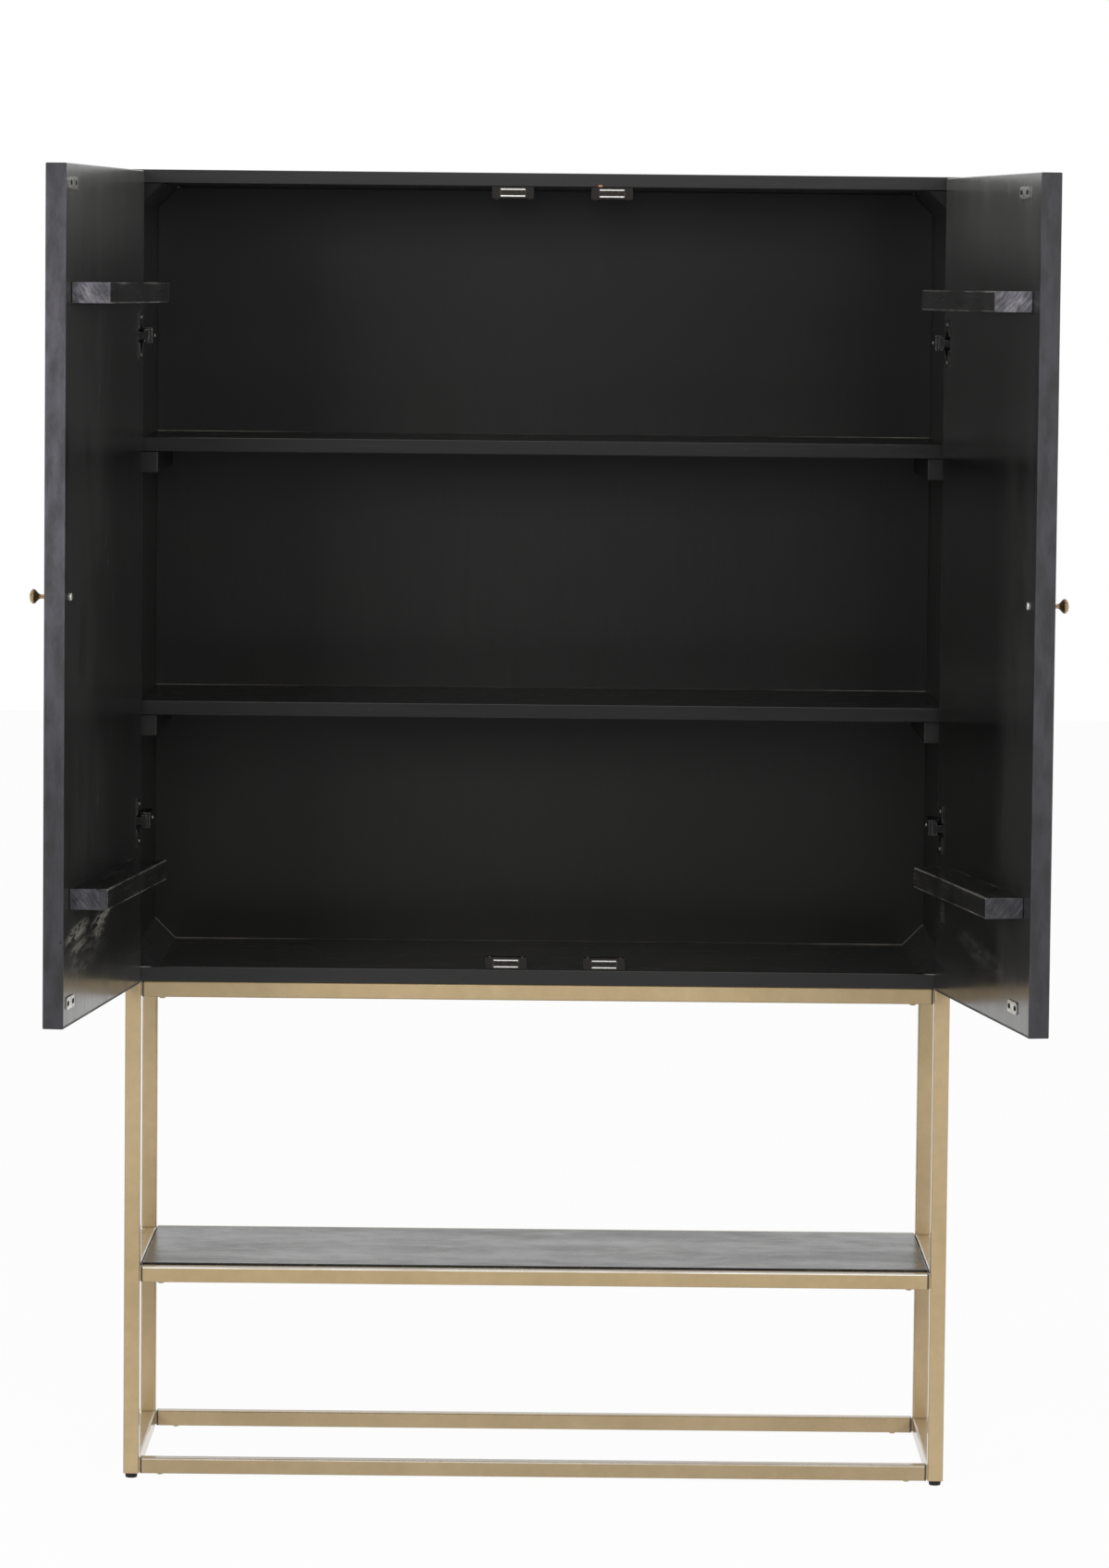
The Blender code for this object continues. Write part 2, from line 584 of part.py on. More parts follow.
def door(name, side, opening, catch_x, finishes, parent):
    """A door on its axis with all that it carries, drawn closed and turned open about the axis."""
    axis = empty(f"{name}_hinge_axis", (side * AXIS_X, AXIS_Y, 0.0), side * opening, parent)

    def inward(distance):
        return -side * distance

    outer_face = AXIS_DEPTH - DOOR_THICK
    corners = [
        (FREE_EDGE, AXIS_DEPTH, DOOR_EDGE),
        (-AXIS_INSET, AXIS_DEPTH, HINGE_EDGE_ROUND),
        (-AXIS_INSET, outer_face, DOOR_EDGE),
        (FREE_EDGE, outer_face, DOOR_EDGE),
    ]
    shape = prism(rounded(corners), DOOR_BOTTOM, DOOR_TOP, lambda x, y, z: (inward(x), y, z))
    board = piece(f"{name}_door", shape, finishes["black"], axis, edge=DOOR_EDGE)

    knob_x = inward(FREE_EDGE - KNOB_INSET)
    cup_bore_depth = AXIS_DEPTH - CUP_BOTTOM + SEAT
    pin_room = PIN_REACH + SEAT
    holes = bmesh.new()
    notches = bmesh.new()
    for z in HINGE_LEVELS.values():
        start = (inward(CUP_X), AXIS_DEPTH - cup_bore_depth, z)
        cylinder(start, cup_bore_depth + CUT_PAST, CUP_RADIUS + SEAT, "Y", shape=holes)
        cylinder((0, 0, z - pin_room), 2 * pin_room, PIN_RADIUS + SEAT, "Z", SMALL_STEPS, notches)
    start = (knob_x, outer_face - CUT_PAST, DOOR_MIDDLE)
    cylinder(start, DOOR_THICK + 2 * CUT_PAST, KNOB_SCREW_RADIUS + SEAT, "Y", SMALL_STEPS, holes)
    combine(board, holes, "DIFFERENCE")
    combine(board, notches, "DIFFERENCE")

    outward = Matrix.Translation((knob_x, outer_face, DOOR_MIDDLE)) @ Matrix.Rotation(math.pi / 2, 4, "X")
    piece(f"{name}_knob", knob_shape(outward), finishes["brass"], axis, smooth=True)

    face = AXIS_DEPTH + SEAT
    batten_end = FREE_EDGE - BATTEN_FREE_END
    for level, z in BATTEN_LEVELS.items():
        low = (inward(batten_end), face, z - BATTEN_HEIGHT / 2)
        high = (inward(batten_end - BATTEN_LENGTH), face + BATTEN_DEPTH, z + BATTEN_HEIGHT / 2)
        piece(f"{name}_{level}_batten", box(low, high), finishes["black"], axis, edge=BOARD_EDGE)

    strike_x = catch_x - side * AXIS_X
    for level, z in CATCH_MIDDLES.items():
        outline = plate(strike_x, z, STRIKE_WIDTH, STRIKE_HEIGHT, STRIKE_CORNER)
        shape = prism(outline, face, face + STRIKE_THICK, lambda x, z, y: (x, y, z))
        strike = piece(f"{name}_{level}_strike", shape, finishes["nickel"], axis)
        holes = bmesh.new()
        for x in (strike_x - STRIKE_HOLE_SPREAD, strike_x + STRIKE_HOLE_SPREAD):
            start = (x, face - CUT_PAST, z)
            cylinder(start, STRIKE_THICK + 2 * CUT_PAST, STRIKE_HOLE_RADIUS, "Y", SMALL_STEPS, holes)
        combine(strike, holes, "DIFFERENCE")

    for level, z in HINGE_LEVELS.items():
        hinge_cup(f"{name}_{level}_hinge_cup", side, z, finishes["steel"], axis)
        hinge_pin(f"{name}_{level}_hinge_pin", z, finishes["steel"], axis)
        hinge_arm(f"{name}_{level}_hinge_arm", side, z, finishes["steel"], parent)


def centre_on_floor(root):
    """Moves the whole object so that the middle of its box, on the floor, is the origin."""
    bpy.context.view_layer.update()
    graph = bpy.context.evaluated_depsgraph_get()
    points = []
    for obj in bpy.context.scene.objects:
        if obj.type == "MESH" and not obj.hide_render:
            seen = obj.evaluated_get(graph)
            points.extend(seen.matrix_world @ vert.co for vert in seen.data.vertices)
    middle = [(min(axis) + max(axis)) / 2 for axis in zip(*points)]
    floor = min(point.z for point in points)
    root.location = (-middle[0], -middle[1], -floor)


def build():
    for obj in list(bpy.data.objects):
        bpy.data.objects.remove(obj, do_unlink=True)
    finishes = {
        "black": material("black lacquered wood", (0.013, 0.013, 0.014), 0.42),
        "gold": material("champagne gold metal", (0.62, 0.52, 0.36), 0.34, 1.0),
        "plastic": material("black plastic", (0.012, 0.011, 0.010), 0.5),
        "brass": material("aged brass", (0.30, 0.21, 0.11), 0.38, 1.0),
        "nickel": material("nickel plate", (0.62, 0.61, 0.58), 0.28, 1.0),
        "steel": material("dark zinc steel", (0.30, 0.30, 0.30), 0.36, 1.0),
    }
    root = empty("highboard", (0.0, 0.0, 0.0), 0.0, None)
    base(finishes, root)
    carcass(finishes, root)
    catches(finishes, root)
    door("left", SIDES["left"], LEFT_OPEN, LEFT_CATCH_X, finishes, root)
    door("right", SIDES["right"], RIGHT_OPEN, RIGHT_CATCH_X, finishes, root)
    centre_on_floor(root)


build()
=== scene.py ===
"""Looks of a two-door highboard: black lacquered boards on a base of square gold tube.

Metres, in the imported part's own frame: +Z up, the front faces -Y, the doors stand open.
"""

import json
import math

import bmesh
import bpy
from mathutils import Matrix, Vector


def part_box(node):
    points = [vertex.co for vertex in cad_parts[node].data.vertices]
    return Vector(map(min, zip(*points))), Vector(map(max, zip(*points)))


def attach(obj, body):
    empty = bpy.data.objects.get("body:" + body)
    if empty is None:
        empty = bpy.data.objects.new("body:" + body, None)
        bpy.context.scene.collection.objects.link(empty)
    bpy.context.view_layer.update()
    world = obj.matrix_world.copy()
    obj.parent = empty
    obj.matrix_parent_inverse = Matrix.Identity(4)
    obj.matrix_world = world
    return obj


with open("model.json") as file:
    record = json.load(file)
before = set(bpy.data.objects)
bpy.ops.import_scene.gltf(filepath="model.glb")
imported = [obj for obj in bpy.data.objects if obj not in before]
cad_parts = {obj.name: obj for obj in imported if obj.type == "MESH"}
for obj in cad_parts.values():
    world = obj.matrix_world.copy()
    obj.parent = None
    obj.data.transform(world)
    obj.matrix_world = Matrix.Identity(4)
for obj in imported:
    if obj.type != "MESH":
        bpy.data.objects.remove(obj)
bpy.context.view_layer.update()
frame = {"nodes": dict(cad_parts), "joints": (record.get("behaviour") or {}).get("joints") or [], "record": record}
nodes = frame["nodes"]

# The photograph's camera, measured from the middle of the base on the floor
IMAGE_HEIGHT = 1697
FOCAL_PIXELS = 6995.3
SENSOR = 36.0
CAMERA_PLACE = Vector((0.01445, -7.9693, 1.46226))
CAMERA_PITCH = math.radians(4.4585)
CAMERA_YAW = math.radians(0.0253)
CAMERA_ROLL = math.radians(0.5671)
CAMERA_REACH = 100.0

# Floor and world: mirrored, the floor is white from GLOW_FAR back, and the world is dim towards the front
FLOOR_HALF = 14.0
FLOOR_CELLS = 8
FLOOR_GREY = 0.85
FLOOR_ROUGHNESS = 0.9
FLOOR_SHOWN_WHITE = 0.965
FLOOR_MIRRORED_WHITE = 0.975
GLOW_NEAR = -1.2
GLOW_FAR = -0.2
WORLD_SOFT = 0.30
FRONT_DIM = 0.16
FRONT_EDGE = -0.45
BACK_EDGE = 0.15

# Softboxes, with places measured from the point that they look at
SOFTBOX_TINT = (1.0, 1.0, 0.99)
AIM_HEIGHT = 1.0
OVERHEAD = {"place": (-0.3, -3.2, 2.9), "size": (3.4, 1.6), "power": 40}
LEFT_BOX = {"place": (-2.95, -6.2, 1.3), "size": (1.6, 1.5), "power": 145}
RIGHT_BOX = {"place": (3.65, -6.0, 1.3), "size": (1.6, 1.5), "power": 124}
RIGHT_WING = {"place": (2.2, -6.3, 1.3), "size": (1.5, 1.5), "power": 36}
STRIP = {"place": (-0.05, -6.5, 0.6), "size": (0.5, 1.2), "power": 4.2}

# Lacquer
LACQUER = (0.0072, 0.0074, 0.0071)
LACQUER_WARM = (0.0092, 0.0083, 0.0068)
LACQUER_COOL = (0.0068, 0.0072, 0.0083)
# Smudge haze together with a painted reflection of the lit inside, for the doors' inner faces
HAZE_AND_DOOR_REFLECTION = (0.0325, 0.0325, 0.0320)
LACQUER_WORN = (0.115, 0.110, 0.100)
# A pale painted reflection at the top and foot of the doors' inner faces
PAINTED_DOOR_REFLECTION = (0.160, 0.160, 0.157)
LACQUER_ROUGHNESS = 0.315
LACQUER_ROUGHNESS_SPREAD = 0.08
STREAK_DARKER = 0.5
STREAK_LIGHTER = 0.6
DULL_ROUGHNESS = 0.40
UP_GRAIN = (5.0, 5.0, 0.35)
ALONG_GRAIN = (0.35, 5.0, 5.0)
EVEN_GRAIN = (1, 1, 1)
RAW_DARK = (0.0040, 0.0040, 0.0040)

# Level boards
# Each board's lacquer is set lighter or darker, and its front edge paler by its own amount, as painted light for
# how lit each is
BOARD_LIT_TONES = {"top_panel": 2.0, "bottom_panel": 4.4, "upper_shelf": 2.4, "lower_shelf": 2.4}
BOARD_EDGES = {"top_panel": (0.0240, 0.0240, 0.0245), "bottom_panel": (0.0215, 0.0215, 0.0215),
               "upper_shelf": (0.0128, 0.0128, 0.0128), "lower_shelf": (0.0132, 0.0132, 0.0132)}
CHIP = (0.42, 0.19, 0.09)
CHIP_FROM_MIDDLE = 0.066
CHIP_HALVES = (0.0028, 0.0028, 0.0028)
NICK_FROM_END = 0.022
NICK_HALVES = (0.0100, 0.0030, 0.0012)
NICK_SHARE = 0.6
BASE_SHELF_SHEEN = (0.99, 1.0, 0.93)

# Doors: the haze across an inner face, smudge haze with a painted reflection of the lit inside, is where across
# the door it starts and ends, and its strengths there; SMEARS are x, z, half length, half height and strength in
# the door's own frame
# Free edges: paler than the faces, set lighter on the left door and at mid height as painted light; the low colour
# is the edge outside that band
DOOR_EDGE = {"left": (0.0600, 0.0572, 0.0740), "right": (0.0264, 0.0251, 0.0340)}
DOOR_EDGE_LOW = (0.0226, 0.0215, 0.0288)
DOOR_GLOSS = {"left": 1.45, "right": 1.6}
# The left door's lacquer is set lighter than the right's, as painted light
DOOR_LIT_TONE = {"left": 1.2, "right": 0.62}
DOOR_SHEEN = (1.0, 0.99, 0.92)
# Painted reflection at the foot of each door's inner face, and how high it reaches
FOOT_REFLECTION = {"left": 0.42, "right": 0.20}
FOOT_HEIGHT = 0.07
SMUDGE_AND_REFLECTION = {"left": (0.35, 0.75, 0.10, 0.85), "right": (0.55, 0.92, 0.02, 0.75)}
SMUDGE_AND_REFLECTION_LOW_HIGH = {"left": (1.15, 1.2), "right": (2.05, 0.5)}
OUTWARD_REACH = 0.7
OUTWARD_LEAST = 0.55
SMEAR = (0.50, 0.48, 0.41)
SMEAR_DEPTH = 0.003
SMEAR_SOFT = 0.5
SMEAR_LEAN = {"left": 0.08, "right": -0.1}
SMEARS = {"left": ((0.407, -0.387, 0.060, 0.009, 0.60), (0.254, -0.386, 0.056, 0.009, 0.55),
                   (0.273, -0.400, 0.032, 0.007, 0.40), (0.407, -0.405, 0.058, 0.005, 0.40),
                   (0.360, -0.418, 0.100, 0.020, 0.14)),
          "right": ((-0.245, -0.421, 0.112, 0.012, 0.10), (-0.029, -0.396, 0.012, 0.014, 0.15))}
NOTCH_HEIGHT = -0.391
NOTCH_INSET = 0.0034
NOTCH_HALVES = (0.002, 0.0016, 0.0014)
# Pale wear: on the bottom panel's nicks it is wear, on the battens' edges wear and a painted highlight
PALE_WEAR_AND_HIGHLIGHT = (0.420, 0.410, 0.390)
BATTEN_END = {"upper": (0.0850, 0.0818, 0.0940), "lower": (0.0325, 0.0312, 0.0365)}
BATTEN_MARK = (-0.2695, 0.053, 0.3436)
BATTEN_MARK_HALVES = (0.020, 0.004, 0.006)

# Gold paint, metals, plastics and seams
GOLD = (0.474, 0.353, 0.190)
GOLD_DEEP = (0.428, 0.312, 0.161)
GOLD_JOINT = (0.014, 0.009, 0.005)
# Pale gold painted highlight for the top corners of the front middle and bottom rails and of the side frames
# beside the base shelf
GOLD_PAINTED_HIGHLIGHT = (0.950, 0.930, 0.880)
GOLD_METALLIC = 0.55
GOLD_COAT = 0.8
GOLD_COAT_ROUGHNESS = 0.10
# How strong the painted highlight is on each front rail
RAIL_PAINTED_HIGHLIGHT = {"front_middle_rail": 1.0, "front_bottom_rail": 0.5}
PAINTED_HIGHLIGHT_LEAST = 0.55
# The front bottom rail is darkened as painted shade, and the rear bottom rail is set a little darker
RAIL_DARKENING = {"front_bottom_rail": 0.80, "rear_bottom_rail": 0.93}
NICKEL = (0.72, 0.71, 0.68)
NICKEL_DULL = (0.58, 0.57, 0.54)
STRIKE_DULL = (0.52, 0.51, 0.48)
SLOT_ROUGHER = 0.5
BRASS = (0.58, 0.42, 0.22)
BRASS_DULL = (0.36, 0.24, 0.12)
KNOB_FLUTES = 20
HINGE_ARM_GREY = 0.045
HINGE_CUP_GREY = 0.095
HINGE_DULL = 0.6
# A painted highlight along the hinges' edges
HINGE_PAINTED_HIGHLIGHT = (0.42, 0.41, 0.39)
HINGE_SCREW = (0.24, 0.235, 0.23)
HINGE_SCREW_DULL = (0.15, 0.148, 0.145)
CATCH_SCREW = (0.110, 0.085, 0.070)
CATCH_SCREW_DULL = (0.060, 0.045, 0.038)
CATCH_BROWN = (0.0048, 0.0038, 0.0033)
CATCH_BROWN_PALE = (0.0085, 0.0062, 0.0052)
# A painted highlight along the catches' edges
CATCH_PAINTED_HIGHLIGHT = (0.240, 0.215, 0.195)
MAGNET = (0.012, 0.010, 0.009)
MAGNET_PALE = (0.075, 0.068, 0.062)
POLE_STEEL = (0.93, 0.92, 0.90)
BLACK_PLASTIC = (0.005, 0.005, 0.005)
BLACK_SCREW = (0.010, 0.010, 0.010)
PLASTIC_PALER = 1.5
PLASTIC_ROUGHNESS = (0.85, 1.15)
METAL_ROUGHNESS = (0.85, 1.2)
SEAM_FILLER = (0.190, 0.174, 0.150)
# Painted shade for the upper and back inner corners
SEAM_PAINTED_SHADE = (0.0075, 0.0073, 0.0070)
SEAM_ROUGHNESS = 0.6

# Noise patterns, with scales per metre
LACQUER_CLOUDS = {"scale": 5.0, "detail": 4.0}
LACQUER_BRUSHING = {"scale": 26.0, "detail": 5.0, "roughness": 0.6}
LACQUER_SPECKLE = {"scale": 420.0, "detail": 2.0}
DOOR_PATCHES = {"scale": 8.0, "stretch": (1, 1, 0.4), "detail": 8.0, "roughness": 0.70, "warp": 0.4}
DOOR_DRIPS = {"scale": 40.0, "stretch": (1, 1, 0.10), "detail": 5.0, "roughness": 0.6}
DOOR_MOTTLE = {"scale": 70.0, "stretch": (1, 1, 0.35), "detail": 6.0, "roughness": 0.65}
SMEAR_WIPES = {"scale": 55.0, "stretch": (0.45, 1, 3.2), "detail": 6.0, "warp": 0.8}
BATTEN_ZONES = {"scale": 11.0, "stretch": (1.2, 1, 0.6), "detail": 5.0, "warp": 0.5}
BATTEN_SCRATCHES = {"scale": 75.0, "stretch": (1, 5.0, 0.7), "detail": 6.0, "roughness": 0.7, "warp": 0.6,
                    "lean": (0.7, 0, 0)}
BATTEN_BLOTCHES = {"scale": 48.0, "stretch": (1, 1, 0.8), "detail": 5.0, "roughness": 0.65}
SHELF_SCUFFS = {"scale": 13.0, "stretch": (0.4, 1, 1), "detail": 8.0, "roughness": 0.70, "warp": 0.3}
SHELF_DUST = {"scale": 160.0, "stretch": (0.5, 1, 1), "detail": 4.0, "roughness": 0.7}
GOLD_CLOUDS = {"scale": 7.0}
GOLD_GRAIN = {"scale": 900.0, "detail": 2.0}
GOLD_GRIME = {"scale": 45.0, "detail": 5.0, "roughness": 0.7}
GOLD_PATCHES = {"scale": 9.0, "detail": 4.0}
METAL_CLOUDS = {"scale": 160.0, "detail": 4.0}
METAL_SCRATCHES = {"scale": 1500.0, "detail": 2.0}
BRASS_CLOUDS = {"scale": 220.0, "detail": 4.0}
MAGNET_CLOUDS = {"scale": 300.0}
HINGE_HIGHLIGHT_BREAKS = {"scale": 240.0}
CATCH_HIGHLIGHT_BREAKS = {"scale": 300.0}
PLASTIC_GRAIN = {"scale": 700.0, "detail": 2.0}
SEAM_PATCHES = {"scale": 30.0, "detail": 4.0}
SEAM_GRAIN = {"scale": 600.0}

# Depths of the bump layers
SPECKLE_DEPTH = 0.00002
BRUSHING_DEPTH = 0.00010
GOLD_GRAIN_DEPTH = 0.00003
SCRATCH_DEPTH = 0.00001
PLASTIC_DEPTH = 0.00002
SEAM_DEPTH = 0.00004
FLUTE_DEPTH = 0.00012
SLOT_DEPTH = -0.0003

# Ramps: a value's two ends, then what the ramp gives there, which is 0 and 1 where left out
WIDE = (0.30, 0.70)
CLOSE = (0.35, 0.65)
TARNISH = (0.35, 0.70)
WARMTH = (0.50, 0.75)
BRUSHED = (0.25, 0.75)
BRUSHED_SHEEN = (0.2, 0.8)
BROKEN = (0.35, 0.62)
EDGE_COSINE = (0.80, 0.985, 1.0, 0.0)
PATCHY_HAZE = (*CLOSE, 0.35, 1.55)
DRIPPING_HAZE = (*CLOSE, 0.80, 1.20)
SMUDGE_AND_REFLECTION_HEIGHTS = (0.15, 0.80)
# Painted reflections near the top of a door's inner face
TOP_REFLECTION = (0.84, 1.0, 0.0, 1.6)
CROWN = (0.86, 1.0, 0.0, 0.78)
CROWN_PATCHES = (0.4, 1.6, 0.86, 1.12)
PATCHY_SHEEN = (0.3, 1.5, -0.02, 0.03)
# Heights of the painted band of light on a door's free edge
EDGE_LIT_FROM = (0.15, 0.65)
EDGE_LIT_TO = (0.8, 1.0, 1.0, 0.45)
MOTTLED = (0.33, 0.67, 0.58, 1.30)
WIPED = (0.40, 0.60)
BATTEN_ZONED = (*CLOSE, 0.7, 1.9)
BATTEN_LEVELS = (-0.1, 0.1)
BATTEN_SCRATCHED = (0.38, 0.66, 0.62, 1.9)
BATTEN_BLOTCHED = (*CLOSE, 0.60, 1.40)
SCUFFED = (*WIDE, 0.5, 1.6)
SCUFFED_SHEEN = (*WIDE, -0.06, 0.07)
DUSTY = (0.58, 0.74, 0.0, 0.10)
GRIMY = (*WIDE, 1.04, 0.95)
PAINTED_HIGHLIGHT_PATCHES = (0.3, 0.6)
GOLD_SHEEN = (*WIDE, 0.42, 0.52)
HINGE_HIGHLIGHT_RAMP = (0.35, 0.55)
HINGE_SHEEN = (*WIDE, 0.32, 0.45)
CATCH_HIGHLIGHT_RAMP = (0.30, 0.55, 0.0, 0.9)
CATCH_SHEEN = (*WIDE, 0.50, 0.62)
MAGNET_SHEEN = (*WIDE, 0.20, 0.30)
POLE_FROM_MIDDLE = (0.0030, 0.0034)
STRIKE_SHEEN = (*WIDE, 0.26, 0.36)
BRASS_SHEEN = (*WIDE, 0.28, 0.40)
FLUTED = (-1.0, 1.0, 0.70, 1.10)
SEAM_BARE = (0.26, 0.46, 0.16, 1.0)
SEAM_BROKEN = (*CLOSE, 0.5, 1.0)

# What a ramp gives at its two ends, where the ends come from a node's own size
BACK_WARM = (0.6, 0.0)
BACK_COOL = (0.0, 0.7)
BATTEN_ACROSS = (1.25, 0.8)
DOOR_EDGE_ACROSS = (0.97, 1.25)

# Skins: how far from a face a finish is full, and where it ends
BOARD_SKIN = (0.0002, 0.0006)
DOOR_EDGE_SKIN = (0.0006, 0.0024)
END_SKIN = (0.0004, 0.0008)
STRIP_SKIN = (0.0010, 0.0016)
INSIDE_SKIN = (0.0010, 0.0020)
RIM_SKIN = (0.0020, 0.0040)
CORNER_SKIN = (0.0012, 0.0022)
CORNER_ABOVE = (0.0002, 0.0006)
JOINT_SKIN = (0.0014, 0.0028)
JOINT_SHARE = 0.95
CORNER_END = 0.0005
SLOT_SOFT = 0.0003

# Widths of the worn edges, and of the painted highlights along the battens', hinges' and catches' edges
BOARD_RUB = 0.0016
STRIP_RUB = 0.0030
BATTEN_WEAR_AND_HIGHLIGHT_WIDTH = 0.0034
HINGE_HIGHLIGHT_WIDTH = 0.0009
CATCH_HIGHLIGHT_WIDTH = 0.0012
BEVEL_SAMPLES = 6

# Small hardware
BOLT_FROM_END = 0.024
BOLT_RADIUS = 0.0042
BOLT_HEIGHT = 0.0022
STRIKE_SCREW_SPREAD = 0.016
STRIKE_SCREW_RADIUS = 0.0023
STRIKE_SCREW_HEIGHT = 0.0005
STRIKE_SCREW_SINK = 0.0010
STRIKE_SLOT_SPREAD = 0.0145
STRIKE_SLOT_HALF = 0.0032
STRIKE_SLOT_RADIUS = 0.0029
CUP_SCREW_SPREAD = 0.0225
CUP_SCREW_FROM_AXIS = 0.016
PAN_RADIUS = 0.0026
PAN_HEIGHT = 0.0013
ARM_SCREW_RADIUS = 0.0030
ARM_SCREW_HEIGHT = 0.0016
ARM_SCREW_FROM_BACK = 0.014
WING_SCREW_SPREAD = 0.0175
WING_FROM_FRONT = 0.037
WING_THICK = 0.002
CATCH_SCREW_SPREAD = 0.0199
KNOB_SCREW_RADIUS = 0.0046
KNOB_SCREW_HEIGHT = 0.0024
SHARP_ANGLE = math.radians(35)

# A screw head's rings and driver recess, as shares of its radius and height
HEAD_STEPS = 24
HEAD_RINGS = ((1.0, 0.0), (1.0, 0.35), (0.86, 0.78), (0.62, 1.0))
CROSS_ARM = 0.46
CROSS_VALLEY = 0.16
CROSS_SHOULDER = 0.24
HEX_REACH = 0.42
RECESS_RIM = 0.98
RECESS_TAPER = 0.8
RECESS_SINK = 0.55

# Seam fillets, of pale filler and of painted shade, and weld fillets
SEAM_RADIUS = 0.0012
SHELF_SEAM_RADIUS = SEAM_RADIUS * 0.8
SEAM_STEPS = 40
SEAM_RIPPLE = 0.08
SEAM_WAVES = (37.0, 11.0, 91.0)
WELD_RADIUS = 0.0016
WELD_PITCH = 0.0013
WELD_STEPS = 60
WELD_RIPPLE = 0.15
FILLET_HOLLOW = 0.34
TUBE_CORNER = 0.0020

SIDES = ("left", "right")
MIDDLE = (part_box("left_side_frame")[0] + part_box("right_side_frame")[1]) / 2


# Node materials

class Graph:
    """A node tree that is being put together, for a material or the world."""

    def __init__(self, owner, coords):
        owner.use_nodes = True
        self.tree = owner.node_tree
        self.tree.nodes.clear()
        self.coords = self.add("ShaderNodeTexCoord").outputs[coords]

    def add(self, kind, **settings):
        node = self.tree.nodes.new(kind)
        for key, value in settings.items():
            setattr(node, key, value)
        return node

    def join(self, value, socket):
        """Links an output to a socket, or sets a plain value on it."""
        if isinstance(value, bpy.types.NodeSocket):
            self.tree.links.new(value, socket)
        elif isinstance(value, tuple) and len(value) == 3 and socket.type == "RGBA":
            socket.default_value = (*value, 1.0)
        else:
            socket.default_value = value

    def math(self, operation, first, second=0.0, clamp=False):
        node = self.add("ShaderNodeMath", operation=operation, use_clamp=clamp)
        self.join(first, node.inputs[0])
        self.join(second, node.inputs[1])
        return node.outputs[0]

    def times(self, first, second, clamp=False):
        return self.math("MULTIPLY", first, second, clamp)

    def most(self, *values):
        """The largest of some values."""
        result = values[0]
        for value in values[1:]:
            result = self.math("MAXIMUM", result, value)
        return result

    def axis(self, letter):
        node = self.add("ShaderNodeSeparateXYZ")
        self.join(self.coords, node.inputs[0])
        return node.outputs[letter]

    def beyond(self, letter, level):
        """How far a point lies past a level on an axis."""
        return self.math("SUBTRACT", self.axis(letter), level)

    def off(self, letter, level):
        """How far a point lies from a level on an axis, either way."""
        return self.math("ABSOLUTE", self.beyond(letter, level))

    def ease(self, value, low, high, start=0.0, stop=1.0):
        """Goes smoothly from start to stop as a value goes from low to high."""
        node = self.add("ShaderNodeMapRange", interpolation_type="SMOOTHSTEP")
        for socket, number in zip(node.inputs, (value, low, high, start, stop)):
            self.join(number, socket)
        return node.outputs[0]


